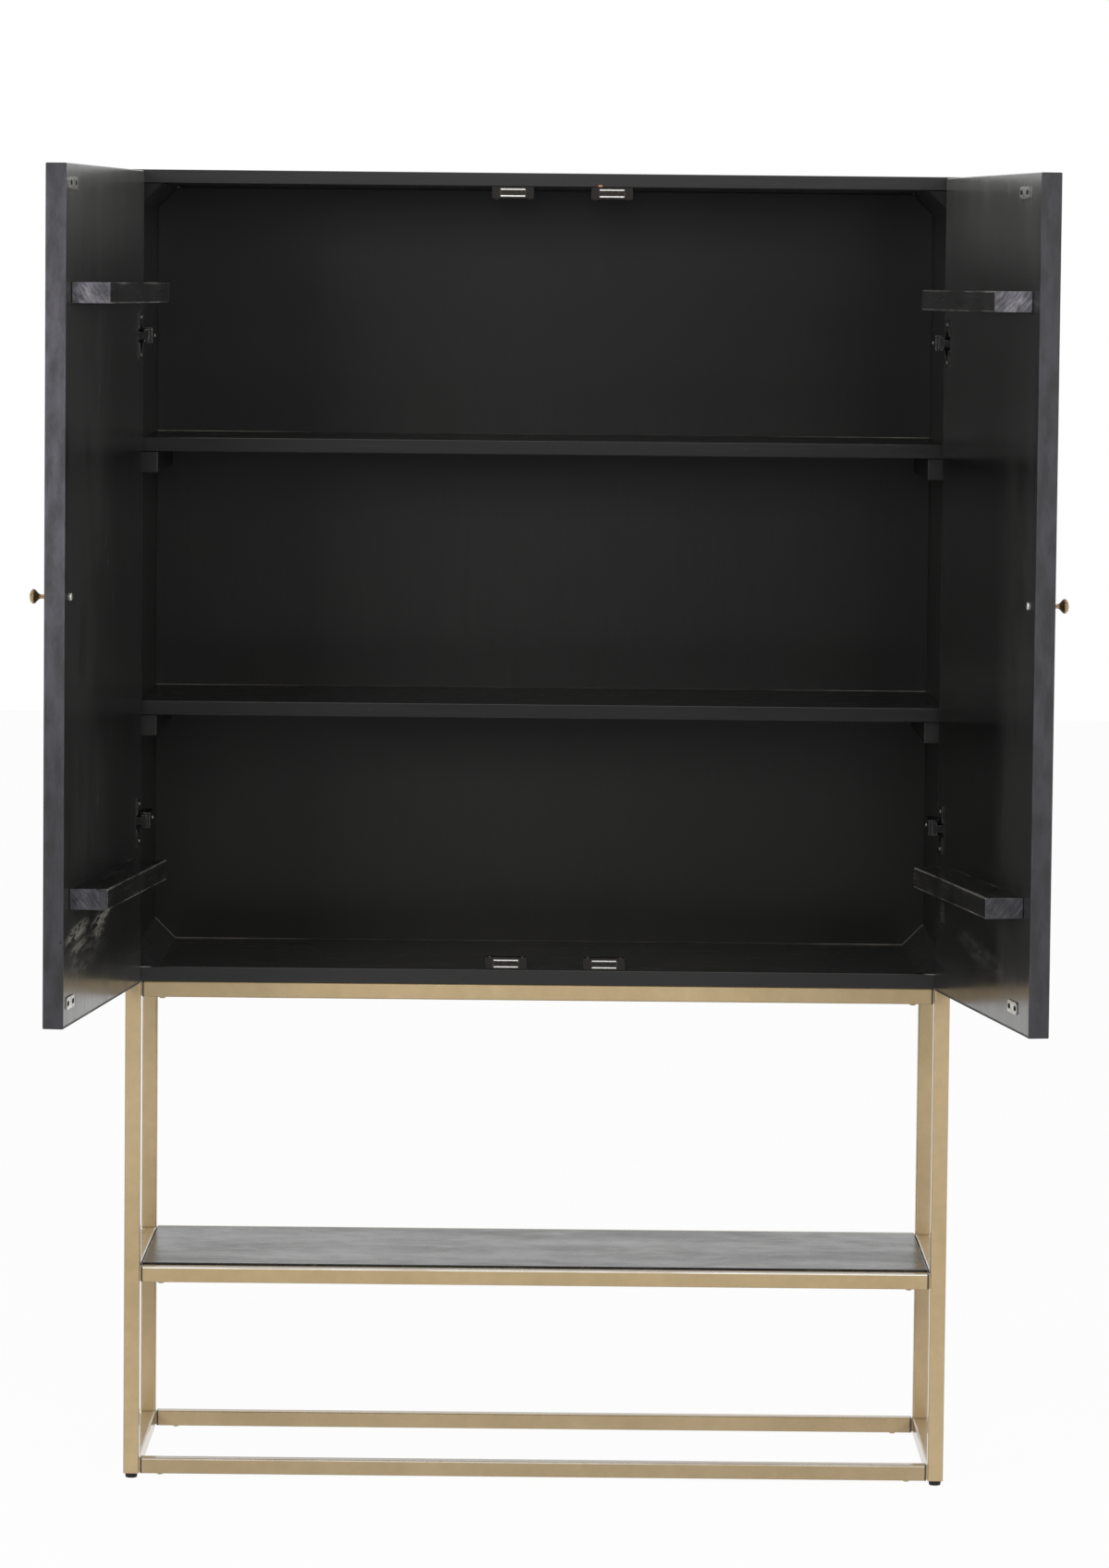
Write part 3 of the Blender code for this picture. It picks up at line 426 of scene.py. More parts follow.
class Finish(Graph):
    """A material of one shader, whose patterns lie in the object's own frame or a turned one."""

    def __init__(self, name, specular=0.5):
        self.material = bpy.data.materials.new(name)
        super().__init__(self.material, "Object")
        self.output = self.add("ShaderNodeOutputMaterial")
        self.shader = self.add("ShaderNodeBsdfPrincipled")
        self.shader.inputs["Specular IOR Level"].default_value = specular
        self.join(self.shader.outputs["BSDF"], self.output.inputs["Surface"])
        self.rough = None

    def set(self, name, value):
        self.join(value, self.shader.inputs[name])

    def turn(self, place):
        """Reads the patterns in a turned frame, such as a door's own."""
        mapping = self.add("ShaderNodeMapping", vector_type="TEXTURE")
        mapping.inputs["Location"].default_value = place.translation
        mapping.inputs["Rotation"].default_value = place.to_euler()
        self.join(self.coords, mapping.inputs["Vector"])
        self.coords = mapping.outputs["Vector"]

    def skin(self, letter, face, inward, depths):
        """1 by a face across an axis, 0 deeper in; inward is the sign of the way in."""
        full, none = depths
        if inward > 0:
            return self.ease(self.axis(letter), face + full, face + none, 1.0, 0.0)
        return self.ease(self.axis(letter), face - none, face - full)

    def noise(self, scale, stretch=(1, 1, 1), detail=3.0, roughness=0.55, warp=0.0, lean=(0, 0, 0)):
        mapping = self.add("ShaderNodeMapping", vector_type="TEXTURE")
        mapping.inputs["Rotation"].default_value = lean
        mapping.inputs["Scale"].default_value = [1 / v for v in stretch]
        self.join(self.coords, mapping.inputs["Vector"])
        node = self.add("ShaderNodeTexNoise")
        self.join(mapping.outputs["Vector"], node.inputs["Vector"])
        node.inputs["Scale"].default_value = scale
        node.inputs["Detail"].default_value = detail
        node.inputs["Roughness"].default_value = roughness
        node.inputs["Distortion"].default_value = warp
        return node.outputs["Fac"]

    def blend(self, share, one, other):
        node = self.add("ShaderNodeMix", data_type="RGBA")
        for index, value in ((0, share), (6, one), (7, other)):
            self.join(value, node.inputs[index])
        return node.outputs[2]

    def shade(self, colour, factor):
        node = self.add("ShaderNodeVectorMath", operation="SCALE")
        self.join(colour, node.inputs[0])
        self.join(factor, node.inputs["Scale"])
        return node.outputs[0]

    def spot(self, centre, halves, soft=0.25, lean=(0, 0, 0)):
        """1 inside an oval of the given half sizes about a point, 0 outside."""
        mapping = self.add("ShaderNodeMapping", vector_type="TEXTURE")
        mapping.inputs["Location"].default_value = centre
        mapping.inputs["Rotation"].default_value = lean
        mapping.inputs["Scale"].default_value = halves
        self.join(self.coords, mapping.inputs["Vector"])
        length = self.add("ShaderNodeVectorMath", operation="LENGTH")
        self.join(mapping.outputs["Vector"], length.inputs[0])
        return self.ease(length.outputs["Value"], 1 - soft, 1 + soft, 1.0, 0.0)

    def edges(self, radius):
        """1 along the edges of a piece, 0 on its flats."""
        bevel = self.add("ShaderNodeBevel", samples=BEVEL_SAMPLES)
        bevel.inputs["Radius"].default_value = radius
        geometry = self.add("ShaderNodeNewGeometry")
        dot = self.add("ShaderNodeVectorMath", operation="DOT_PRODUCT")
        self.join(bevel.outputs["Normal"], dot.inputs[0])
        self.join(geometry.outputs["True Normal"], dot.inputs[1])
        return self.ease(dot.outputs["Value"], *EDGE_COSINE)

    def bumps(self, *layers):
        """Stacks (height, depth in metres) layers into the shader's normal."""
        normal = None
        for height, depth in layers:
            node = self.add("ShaderNodeBump")
            node.inputs["Strength"].default_value = 1.0
            node.inputs["Distance"].default_value = depth
            self.join(height, node.inputs["Height"])
            if normal:
                self.join(normal, node.inputs["Normal"])
            normal = node.outputs["Normal"]
        self.set("Normal", normal)


def scaled(colour, factor):
    return tuple(value * factor for value in colour)


def lacquer(name, grain, place=None, tone=1.0, streaks=0.5, wear=0.25, worn=LACQUER_WORN, edge=BOARD_RUB,
            specular=0.28, gloss=1.0):
    """Hand-finished satin black lacquer: grain gives how the brushing is stretched, and tone sets a piece's copy
    lighter or darker as painted light.
    """
    finish = Finish(name, specular)
    if place:
        finish.turn(place)
    clouds = finish.noise(**LACQUER_CLOUDS)
    brushing = finish.noise(stretch=grain, **LACQUER_BRUSHING)
    speckle = finish.noise(**LACQUER_SPECKLE)
    colour = finish.blend(finish.ease(clouds, *WARMTH), scaled(LACQUER, tone), scaled(LACQUER_WARM, tone))
    colour = finish.shade(colour, finish.ease(brushing, *BRUSHED, 1 - STREAK_DARKER * streaks,
                                              1 + STREAK_LIGHTER * streaks))
    broken = finish.times(finish.edges(edge), finish.ease(brushing, *BROKEN))
    colour = finish.blend(finish.times(broken, wear, clamp=True), colour, worn)
    spread = LACQUER_ROUGHNESS_SPREAD * streaks
    finish.rough = finish.ease(brushing, *BRUSHED_SHEEN, (LACQUER_ROUGHNESS - spread) / gloss,
                               (LACQUER_ROUGHNESS + spread) / gloss)
    finish.bumps((speckle, SPECKLE_DEPTH), (brushing, BRUSHING_DEPTH * streaks))
    return finish, colour


def done(finish, colour, dull=0.0):
    """Sets a lacquer's colour and sheen; dull is 1 where the surface is matt."""
    finish.set("Base Color", colour)
    finish.set("Roughness", finish.math("ADD", finish.rough, finish.times(dull, DULL_ROUGHNESS)))
    return finish.material


def frame_corner_highlight(finish, node):
    """Where a painted highlight lies: 1 on the corner of a side frame's middle rail beside the base shelf, 0 on
    the rest.
    """
    low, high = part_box(node)
    rail_low, rail_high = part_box("front_middle_rail")
    tube = rail_high.y - rail_low.y
    inner = low.x + tube if node.startswith("left") else high.x - tube
    level = finish.times(finish.skin("Z", rail_high.z, -1, CORNER_SKIN),
                         finish.skin("Z", rail_high.z, 1, CORNER_ABOVE))
    beside = finish.ease(finish.off("X", inner), *CORNER_SKIN, 1.0, 0.0)
    half = (high.y - low.y) / 2 - tube
    between = finish.ease(finish.off("Y", (low.y + high.y) / 2), half - CORNER_END, half, 1.0, 0.0)
    return finish.times(level, finish.times(beside, between))


def rail_corner_highlight(finish, node):
    """How strong the painted highlight is along a cross rail's upper front corner, broken in patches."""
    low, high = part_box(node)
    share = RAIL_PAINTED_HIGHLIGHT[node]
    corner = finish.times(finish.skin("Z", high.z, -1, CORNER_SKIN), finish.skin("Y", low.y, 1, CORNER_SKIN))
    patchy = finish.ease(finish.noise(**GOLD_PATCHES), *PAINTED_HIGHLIGHT_PATCHES, share * PAINTED_HIGHLIGHT_LEAST, share)
    return finish.times(corner, patchy)


def gold_tube(node=None):
    """Champagne gold paint on steel tube; a cross rail has a dark joint at each end. Some top corners carry a
    painted highlight, and the bottom rails are darkened, the front one as painted shade.
    """
    finish = Finish(f"{node or 'tube'} gold paint")
    grain = finish.noise(**GOLD_GRAIN)
    # Painted shade on the front bottom rail, and a darker rear bottom rail
    tone = RAIL_DARKENING.get(node, 1.0)
    colour = finish.blend(finish.ease(finish.noise(**GOLD_CLOUDS), *WIDE), scaled(GOLD_DEEP, tone),
                          scaled(GOLD, tone))
    colour = finish.shade(colour, finish.ease(finish.noise(**GOLD_GRIME), *GRIMY))
    # Painted highlights along the top corners
    if node and node.endswith("_frame"):
        colour = finish.blend(frame_corner_highlight(finish, node), colour, GOLD_PAINTED_HIGHLIGHT)
    if node in RAIL_PAINTED_HIGHLIGHT:
        colour = finish.blend(rail_corner_highlight(finish, node), colour, GOLD_PAINTED_HIGHLIGHT)
    if node and node.endswith("_rail"):
        low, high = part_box(node)
        half = (high.x - low.x) / 2
        full, none = JOINT_SKIN
        joint = finish.ease(finish.off("X", (low.x + high.x) / 2), half - none, half - full, 0.0, JOINT_SHARE)
        colour = finish.blend(joint, colour, GOLD_JOINT)
    finish.set("Base Color", colour)
    finish.set("Metallic", GOLD_METALLIC)
    finish.set("Roughness", finish.ease(grain, *GOLD_SHEEN))
    finish.set("Coat Weight", GOLD_COAT)
    finish.set("Coat Roughness", GOLD_COAT_ROUGHNESS)
    finish.bumps((grain, GOLD_GRAIN_DEPTH))
    return finish.material


def metal(name, colour, dull, roughness):
    """A plain metal with faint cloudy tarnish and fine scratches."""
    finish = Finish(name)
    clouds = finish.noise(**METAL_CLOUDS)
    smooth, rough = METAL_ROUGHNESS
    finish.set("Base Color", finish.blend(finish.ease(clouds, *TARNISH), colour, dull))
    finish.set("Metallic", 1.0)
    finish.set("Roughness", finish.ease(clouds, *WIDE, roughness * smooth, roughness * rough))
    finish.bumps((finish.noise(**METAL_SCRATCHES), SCRATCH_DEPTH))
    return finish.material


def hinge_steel(name, grey):
    """Dark plated steel with a painted highlight along its edges."""
    finish = Finish(name)
    clouds = finish.noise(**METAL_CLOUDS)
    painted_light_and_haze = finish.times(finish.edges(HINGE_HIGHLIGHT_WIDTH), finish.ease(finish.noise(**HINGE_HIGHLIGHT_BREAKS), *HINGE_HIGHLIGHT_RAMP))
    steel = (grey, grey, grey)
    dark = finish.blend(finish.ease(clouds, *TARNISH), steel, scaled(steel, HINGE_DULL))
    finish.set("Base Color", finish.blend(painted_light_and_haze, dark, HINGE_PAINTED_HIGHLIGHT))
    finish.set("Metallic", 1.0)
    finish.set("Roughness", finish.ease(clouds, *HINGE_SHEEN))
    finish.bumps((finish.noise(**METAL_SCRATCHES), SCRATCH_DEPTH))
    return finish.material


def plastic(name, colour, roughness):
    """A finely grained matt surface, for moulded plastic and blackened or painted pieces."""
    finish = Finish(name, specular=0.3)
    grain = finish.noise(**PLASTIC_GRAIN)
    smooth, rough = PLASTIC_ROUGHNESS
    finish.set("Base Color", finish.blend(finish.ease(grain, *WIDE), colour, scaled(colour, PLASTIC_PALER)))
    finish.set("Roughness", finish.ease(grain, *WIDE, roughness * smooth, roughness * rough))
    finish.bumps((grain, PLASTIC_DEPTH))
    return finish.material


def pale_seam():
    """Pale filler along the low inner corners, painted over near the middle."""
    finish = Finish("pale seam filler", specular=0.25)
    bare = finish.times(finish.ease(finish.off("X", MIDDLE.x), *SEAM_BARE),
                        finish.ease(finish.noise(**SEAM_PATCHES), *SEAM_BROKEN))
    finish.set("Base Color", finish.blend(bare, LACQUER, SEAM_FILLER))
    finish.set("Roughness", SEAM_ROUGHNESS)
    finish.bumps((finish.noise(**SEAM_GRAIN), SEAM_DEPTH))
    return finish.material


def catch_plastic():
    """Dark brown moulded plastic with a painted highlight along its edges."""
    finish = Finish("catch plastic", specular=0.25)
    grain = finish.noise(**PLASTIC_GRAIN)
    painted_light_and_haze = finish.times(finish.edges(CATCH_HIGHLIGHT_WIDTH), finish.ease(finish.noise(**CATCH_HIGHLIGHT_BREAKS), *CATCH_HIGHLIGHT_RAMP))
    brown = finish.blend(finish.ease(grain, *WIDE), CATCH_BROWN, CATCH_BROWN_PALE)
    finish.set("Base Color", finish.blend(painted_light_and_haze, brown, CATCH_PAINTED_HIGHLIGHT))
    finish.set("Roughness", finish.ease(grain, *CATCH_SHEEN))
    finish.bumps((grain, PLASTIC_DEPTH))
    return finish.material


def magnet_face(node):
    """Bright pole plates above and below a duller magnet, by height."""
    finish = Finish(f"{node} face")
    low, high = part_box(node)
    pole = finish.ease(finish.off("Z", (low.z + high.z) / 2), *POLE_FROM_MIDDLE)
    clouds = finish.noise(**MAGNET_CLOUDS)
    finish.set("Base Color", finish.blend(pole, finish.blend(clouds, MAGNET, MAGNET_PALE), POLE_STEEL))
    finish.set("Metallic", 1.0)
    finish.set("Roughness", finish.ease(clouds, *MAGNET_SHEEN))
    return finish.material


def door_place(side):
    """The door's own frame: the hinge axis, turned as the door stands open."""
    joint = next(joint for joint in frame["joints"] if joint["child"] == f"{side}_leaf")
    closed = max(joint["range_deg"], key=abs)
    return Matrix.Translation(Vector(joint["pos_m"])) @ Matrix.Rotation(math.radians(-closed), 4, "Z")


DOORS = {side: door_place(side) for side in SIDES}


def box_in(node, place):
    """A node's lowest and highest corners in a turned frame."""
    back = place.inverted()
    points = [back @ vert.co for vert in nodes[node].data.vertices]
    return (Vector([min(p[i] for p in points) for i in range(3)]),
            Vector([max(p[i] for p in points) for i in range(3)]))


def upright_lacquer():
    return done(*lacquer("upright lacquer", UP_GRAIN, tone=1.7, streaks=0.25))


def back_lacquer():
    """The back panel: cool above, a little browner below."""
    finish, colour = lacquer("back panel lacquer", UP_GRAIN, tone=0.92, streaks=0.25)
    low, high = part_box("back_panel")
    middle = (low.z + high.z) / 2
    colour = finish.blend(finish.ease(finish.axis("Z"), low.z, middle, *BACK_WARM), colour, LACQUER_WARM)
    colour = finish.blend(finish.ease(finish.axis("Z"), middle, high.z, *BACK_COOL), colour, LACQUER_COOL)
    return done(finish, colour)


def strip_lacquer():
    """A corner strip, with a raw dark end at the front."""
    finish, colour = lacquer("corner strip lacquer", UP_GRAIN, tone=2.0, streaks=0.9, wear=0.3,
                             edge=STRIP_RUB)
    end = finish.skin("Y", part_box("top_left_corner_strip")[0].y, 1, STRIP_SKIN)
    return done(finish, finish.blend(end, colour, RAW_DARK), end)


def flat_lacquer(node):
    """A level board, with a paler front edge."""
    finish, colour = lacquer(f"{node} lacquer", ALONG_GRAIN, tone=BOARD_LIT_TONES[node], streaks=0.7, gloss=1.3)
    low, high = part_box(node)
    colour = finish.blend(finish.skin("Y", low.y, 1, BOARD_SKIN), colour, BOARD_EDGES[node])
    if node == "top_panel":
        chip = finish.spot((MIDDLE.x + CHIP_FROM_MIDDLE, low.y, low.z), CHIP_HALVES)
        colour = finish.blend(chip, colour, CHIP)
    if node == "bottom_panel":
        for x in (low.x + NICK_FROM_END, high.x - NICK_FROM_END):
            nick = finish.spot((x, low.y, high.z), NICK_HALVES)
            colour = finish.blend(finish.times(nick, NICK_SHARE), colour, PALE_WEAR_AND_HIGHLIGHT)
    return done(finish, colour)


def free_end(finish, side, node):
    """1 on the end of a door or batten away from its hinge, 0 on the rest."""
    low, high = box_in(node, DOORS[side])
    if side == "left":
        return finish.skin("X", high.x, -1, END_SKIN)
    return finish.skin("X", low.x, 1, END_SKIN)


def door_smears(finish, side, face):
    """How much each smear on the door's inner face shows."""
    lean = (0, SMEAR_LEAN[side], 0)
    wiped = finish.ease(finish.noise(lean=lean, **SMEAR_WIPES), *WIPED)
    marks = []
    for x, z, half_x, half_z, strength in SMEARS[side]:
        mark = finish.spot((x, face, z), (half_x, SMEAR_DEPTH, half_z), SMEAR_SOFT, lean)
        marks.append(finish.times(mark, strength))
    return finish.times(wiped, finish.most(*marks))


def door_face(finish, side, colour, height, patches, inside, low, high):
    """The colour of a door's inner face: smudge haze with a painted reflection growing outwards, painted
    reflections at its top and foot, and smears.
    """
    across = finish.times(finish.axis("X"), 1.0 if side == "left" else -1.0)
    reach = max(high.x, -low.x)
    near, far, least, greatest = SMUDGE_AND_REFLECTION[side]
    painted_light_and_haze = finish.times(finish.ease(across, reach * near, reach * far, least, greatest), patches)
    painted_light_and_haze = finish.times(painted_light_and_haze, finish.ease(height, *SMUDGE_AND_REFLECTION_HEIGHTS, *SMUDGE_AND_REFLECTION_LOW_HIGH[side]))
    outward = finish.ease(across, 0.0, reach * OUTWARD_REACH, OUTWARD_LEAST, 1.0)
    # The top term is a painted reflection near the door's top
    top = finish.times(finish.ease(height, *TOP_REFLECTION), outward)
    haze_and_reflection = finish.math("ADD", painted_light_and_haze, top, clamp=True)
    colour = finish.blend(finish.times(haze_and_reflection, inside), colour, HAZE_AND_DOOR_REFLECTION)
    crown_reflection = finish.times(finish.ease(height, *CROWN), finish.ease(patches, *CROWN_PATCHES))
    crown_reflection = finish.times(inside, finish.times(crown_reflection, outward))
    foot_reflection = finish.times(inside, finish.ease(height, 0.0, FOOT_HEIGHT, FOOT_REFLECTION[side], 0.0))
    colour = finish.blend(finish.most(crown_reflection, foot_reflection), colour, PAINTED_DOOR_REFLECTION)
    return finish.blend(door_smears(finish, side, high.y), colour, SMEAR)


def door_edge(finish, side, height, low, high):
    """The colour of a door's free edge: paler in a painted band of light at mid height, mottled, with light
    corners.
    """
    lit_band = finish.times(finish.ease(height, *EDGE_LIT_FROM), finish.ease(height, *EDGE_LIT_TO))
    edge = finish.blend(lit_band, DOOR_EDGE_LOW, DOOR_EDGE[side])
    edge = finish.shade(edge, finish.ease(finish.noise(**DOOR_MOTTLE), *MOTTLED))
    half = (high.y - low.y) / 2
    full, none = DOOR_EDGE_SKIN
    off = finish.off("Y", (low.y + high.y) / 2)
    edge = finish.shade(edge, finish.ease(off, half - none, half - full, *DOOR_EDGE_ACROSS))
    if side == "left":
        notch = finish.spot((high.x, high.y - NOTCH_INSET, NOTCH_HEIGHT), NOTCH_HALVES)
        edge = finish.blend(notch, edge, RAW_DARK)
    return edge


def door_lacquer(side):
    """A door: hazy, smeared and with painted reflections inside, matt and pale along its free edge, with painted
    light up its middle.
    """
    node, place = f"{side}_door", DOORS[side]
    finish, colour = lacquer(f"{side} door lacquer", UP_GRAIN, place, tone=DOOR_LIT_TONE[side], streaks=0.6,
                             specular=0.45, gloss=DOOR_GLOSS[side])
    low, high = box_in(node, place)
    height = finish.math("DIVIDE", finish.beyond("Z", low.z), high.z - low.z)
    inside = finish.skin("Y", high.y, -1, INSIDE_SKIN)
    patches = finish.times(finish.ease(finish.noise(**DOOR_PATCHES), *PATCHY_HAZE),
                           finish.ease(finish.noise(**DOOR_DRIPS), *DRIPPING_HAZE))
    colour = door_face(finish, side, colour, height, patches, inside, low, high)
    edge = door_edge(finish, side, height, low, high)
    sheen = finish.times(inside, finish.ease(patches, *PATCHY_SHEEN))
    finish.rough = finish.math("ADD", finish.rough, sheen)
    finish.set("Specular Tint", DOOR_SHEEN)
    end = free_end(finish, side, node)
    rim = finish.times(inside, finish.skin("Z", low.z, 1, RIM_SKIN))
    return done(finish, finish.blend(end, colour, edge), finish.most(end, rim))


def batten_lacquer(side):
    """A batten with worn edges brightened into a painted highlight, and a scratched end."""
    node, place = f"{side}_upper_batten", DOORS[side]
    finish, colour = lacquer(f"{side} batten lacquer", ALONG_GRAIN, place, tone=1.35, streaks=0.9, wear=1.8,
                             worn=PALE_WEAR_AND_HIGHLIGHT, edge=BATTEN_WEAR_AND_HIGHLIGHT_WIDTH, gloss=1.3)
    low, high = box_in(node, place)
    colour = finish.shade(colour, finish.ease(finish.noise(**BATTEN_ZONES), *BATTEN_ZONED))
    if side == "right":
        colour = finish.blend(finish.spot(BATTEN_MARK, BATTEN_MARK_HALVES), colour, RAW_DARK)
    upper = finish.ease(finish.axis("Z"), *BATTEN_LEVELS)
    tone = finish.blend(upper, BATTEN_END["lower"], BATTEN_END["upper"])
    tone = finish.shade(tone, finish.ease(finish.noise(**BATTEN_SCRATCHES), *BATTEN_SCRATCHED))
    tone = finish.shade(tone, finish.ease(finish.noise(**BATTEN_BLOTCHES), *BATTEN_BLOTCHED))
    tone = finish.shade(tone, finish.ease(finish.axis("Y"), low.y, high.y, *BATTEN_ACROSS))
    end = free_end(finish, side, node)
    return done(finish, finish.blend(end, colour, tone), end)


def base_shelf_lacquer():
    """The base shelf: scuffed and dusty on top."""
    finish, colour = lacquer("base shelf lacquer", EVEN_GRAIN, tone=2.0, gloss=1.2)
    scuffs = finish.noise(**SHELF_SCUFFS)
    colour = finish.shade(colour, finish.ease(scuffs, *SCUFFED))
    colour = finish.blend(finish.ease(finish.noise(**SHELF_DUST), *DUSTY), colour, SMEAR)
    finish.rough = finish.math("ADD", finish.rough, finish.ease(scuffs, *SCUFFED_SHEEN))
    finish.set("Specular Tint", BASE_SHELF_SHEEN)
    return done(finish, colour)


def knob_brass(node, side):
    """Aged brass with fine flutes about the knob's own axis."""
    finish = Finish(f"{node} brass")
    finish.turn(DOORS[side])
    low, high = box_in(node, DOORS[side])
    middle = (low + high) / 2
    angle = finish.math("ARCTAN2", finish.beyond("Z", middle.z), finish.beyond("X", middle.x))
    flutes = finish.math("SINE", finish.times(angle, KNOB_FLUTES))
    clouds = finish.noise(**BRASS_CLOUDS)
    brass = finish.blend(finish.ease(clouds, *TARNISH), BRASS, BRASS_DULL)
    finish.set("Base Color", finish.shade(brass, finish.ease(flutes, *FLUTED)))
    finish.set("Metallic", 1.0)
    finish.set("Roughness", finish.ease(clouds, *BRASS_SHEEN))
    finish.bumps((flutes, FLUTE_DEPTH))
    return finish.material


def strike_plate(node, side):
    """Nickel plate with a dark screw slot on each side of its middle."""
    finish = Finish(f"{node} plate")
    finish.turn(DOORS[side])
    low, high = box_in(node, DOORS[side])
    middle = (low + high) / 2
    along = finish.math("SUBTRACT", finish.off("X", middle.x), STRIKE_SLOT_SPREAD)
    along = finish.math("SUBTRACT", finish.math("ABSOLUTE", along), STRIKE_SLOT_HALF)
    along = finish.math("MAXIMUM", along, 0.0)
    tall = finish.beyond("Z", middle.z)
    away = finish.math("SQRT", finish.math("ADD", finish.times(along, along), finish.times(tall, tall)))
    slot = finish.ease(away, STRIKE_SLOT_RADIUS - SLOT_SOFT, STRIKE_SLOT_RADIUS + SLOT_SOFT, 1.0, 0.0)
    clouds = finish.noise(**METAL_CLOUDS)
    plate = finish.blend(finish.ease(clouds, *TARNISH), NICKEL, STRIKE_DULL)
    sheen = finish.ease(clouds, *STRIKE_SHEEN)
    finish.set("Base Color", finish.blend(slot, plate, RAW_DARK))
    finish.set("Metallic", finish.math("SUBTRACT", 1.0, slot))
    finish.set("Roughness", finish.math("ADD", sheen, finish.times(slot, SLOT_ROUGHER)))
    finish.bumps((slot, SLOT_DEPTH))
    return finish.material


FINISHES = {
    "gold_tube": gold_tube(),
    "black_plastic": plastic("black plastic", BLACK_PLASTIC, 0.55),
    "nickel_plate": metal("nickel plate", NICKEL, NICKEL_DULL, 0.30),
    "hinge_steel": hinge_steel("hinge steel", HINGE_ARM_GREY),
    "hinge_cup": hinge_steel("hinge cup steel", HINGE_CUP_GREY),
    "catch_plastic": catch_plastic(),
    "catch_screw": metal("catch screw steel", CATCH_SCREW, CATCH_SCREW_DULL, 0.40),
    "hinge_screw": metal("hinge screw steel", HINGE_SCREW, HINGE_SCREW_DULL, 0.42),
    "dark_screw": plastic("blackened screw", BLACK_SCREW, 0.6),
    "pale_seam": pale_seam(),
    # Painted shade for the upper and back inner corners
    "painted_shade_seam": plastic("painted shade seam", SEAM_PAINTED_SHADE, 0.8),
}
UPRIGHT = upright_lacquer()
BACK = back_lacquer()
STRIP_FINISH = strip_lacquer()
FLAT = {node: flat_lacquer(node) for node in BOARD_LIT_TONES}
DOOR = {side: door_lacquer(side) for side in SIDES}
BATTEN = {side: batten_lacquer(side) for side in SIDES}
BASE_SHELF = base_shelf_lacquer()


def node_finish(node, slot):
    """The material that a CAD node shows."""
    side = node.split("_")[0]
    if slot == "black_lacquer":
        if node.endswith("_door"):
            return DOOR[side]
        if node.endswith("_batten"):
            return BATTEN[side]
        if node == "base_shelf":
            return BASE_SHELF
        if node == "back_panel":
            return BACK
        if node.endswith("_strip"):
            return STRIP_FINISH
        return FLAT.get(node, UPRIGHT)
    if node.endswith("_magnet"):
        return magnet_face(node)
    if node.endswith("_strike"):
        return strike_plate(node, side)
    if node.endswith("_knob"):
        return knob_brass(node, side)
    if node.endswith(("_rail", "_frame")):
        return gold_tube(node)
    if node.endswith("_cup"):
        return FINISHES["hinge_cup"]
    if node.endswith("_catch"):
        return FINISHES["catch_plastic"]
    return FINISHES[slot]


for entry in frame["record"]["subparts"]:
    data = nodes[entry["node"]].data
    data.materials.clear()
    data.materials.append(node_finish(entry["node"], entry["material_slot"]))


# Small pieces

def add_piece(name, shape, finish, body, place=None):
    """One smooth-shaded piece that rides on a body."""
    bmesh.ops.recalc_face_normals(shape, faces=shape.faces)
    mesh = bpy.data.meshes.new(name)
    shape.to_mesh(mesh)
    shape.free()
    if place:
        mesh.transform(place)
    mesh.shade_smooth()
    mesh.set_sharp_from_angle(angle=SHARP_ANGLE)
    mesh.materials.append(finish)
    obj = bpy.data.objects.new(name, mesh)
    bpy.context.scene.collection.objects.link(obj)
    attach(obj, body)


def skin_rings(shape, rings):
    """Faces between rings of points, and a face over each end."""
    count = len(rings[0])
    for lower, upper in zip(rings, rings[1:]):
        for k in range(count):
            after = (k + 1) % count
            shape.faces.new((lower[k], lower[after], upper[after], upper[k]))
    shape.faces.new(list(reversed(rings[0])))
    shape.faces.new(rings[-1])


def recess_reach(step, arms):
    """How far a driver recess reaches at a step round the head: a cross of 4 arms, or 6 sides."""
    if arms == 6:
        return HEX_REACH
    return {0: CROSS_ARM, 3: CROSS_VALLEY}.get(step % 6, CROSS_SHOULDER)


def screw_head(radius, height, arms=4):
    """A domed head on Z with a driver recess."""
    shape = bmesh.new()
    turns = [math.tau * k / HEAD_STEPS for k in range(HEAD_STEPS)]
    around = [(math.cos(turn), math.sin(turn)) for turn in turns]
    rings = []
    for wide, level in HEAD_RINGS:
        rings.append([shape.verts.new((radius * wide * x, radius * wide * y, height * level))
                      for x, y in around])
    reaches = [radius * recess_reach(k, arms) for k in range(HEAD_STEPS)]
    for taper, level in ((1.0, RECESS_RIM), (RECESS_TAPER, 1 - RECESS_SINK)):
        rings.append([shape.verts.new((reach * x * taper, reach * y * taper, height * level))
                      for reach, (x, y) in zip(reaches, around)])
    skin_rings(shape, rings)
    return shape


def facing(point, direction):
    """A frame at a point whose Z looks along a direction."""
    return Matrix.Translation(point) @ Vector(direction).to_track_quat("Z", "Y").to_matrix().to_4x4()


def rail_bolts():
    for end in ("front", "rear"):
        for level in ("top", "middle", "bottom"):
            low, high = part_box(f"{end}_{level}_rail")
            for side, x in (("left", low.x + BOLT_FROM_END), ("right", high.x - BOLT_FROM_END)):
                place = facing((x, (low.y + high.y) / 2, low.z), (0, 0, -1))
                add_piece(f"{end}_{level}_{side}_rail_bolt", screw_head(BOLT_RADIUS, BOLT_HEIGHT, arms=6),
                          FINISHES["gold_tube"], "cabinet", place)


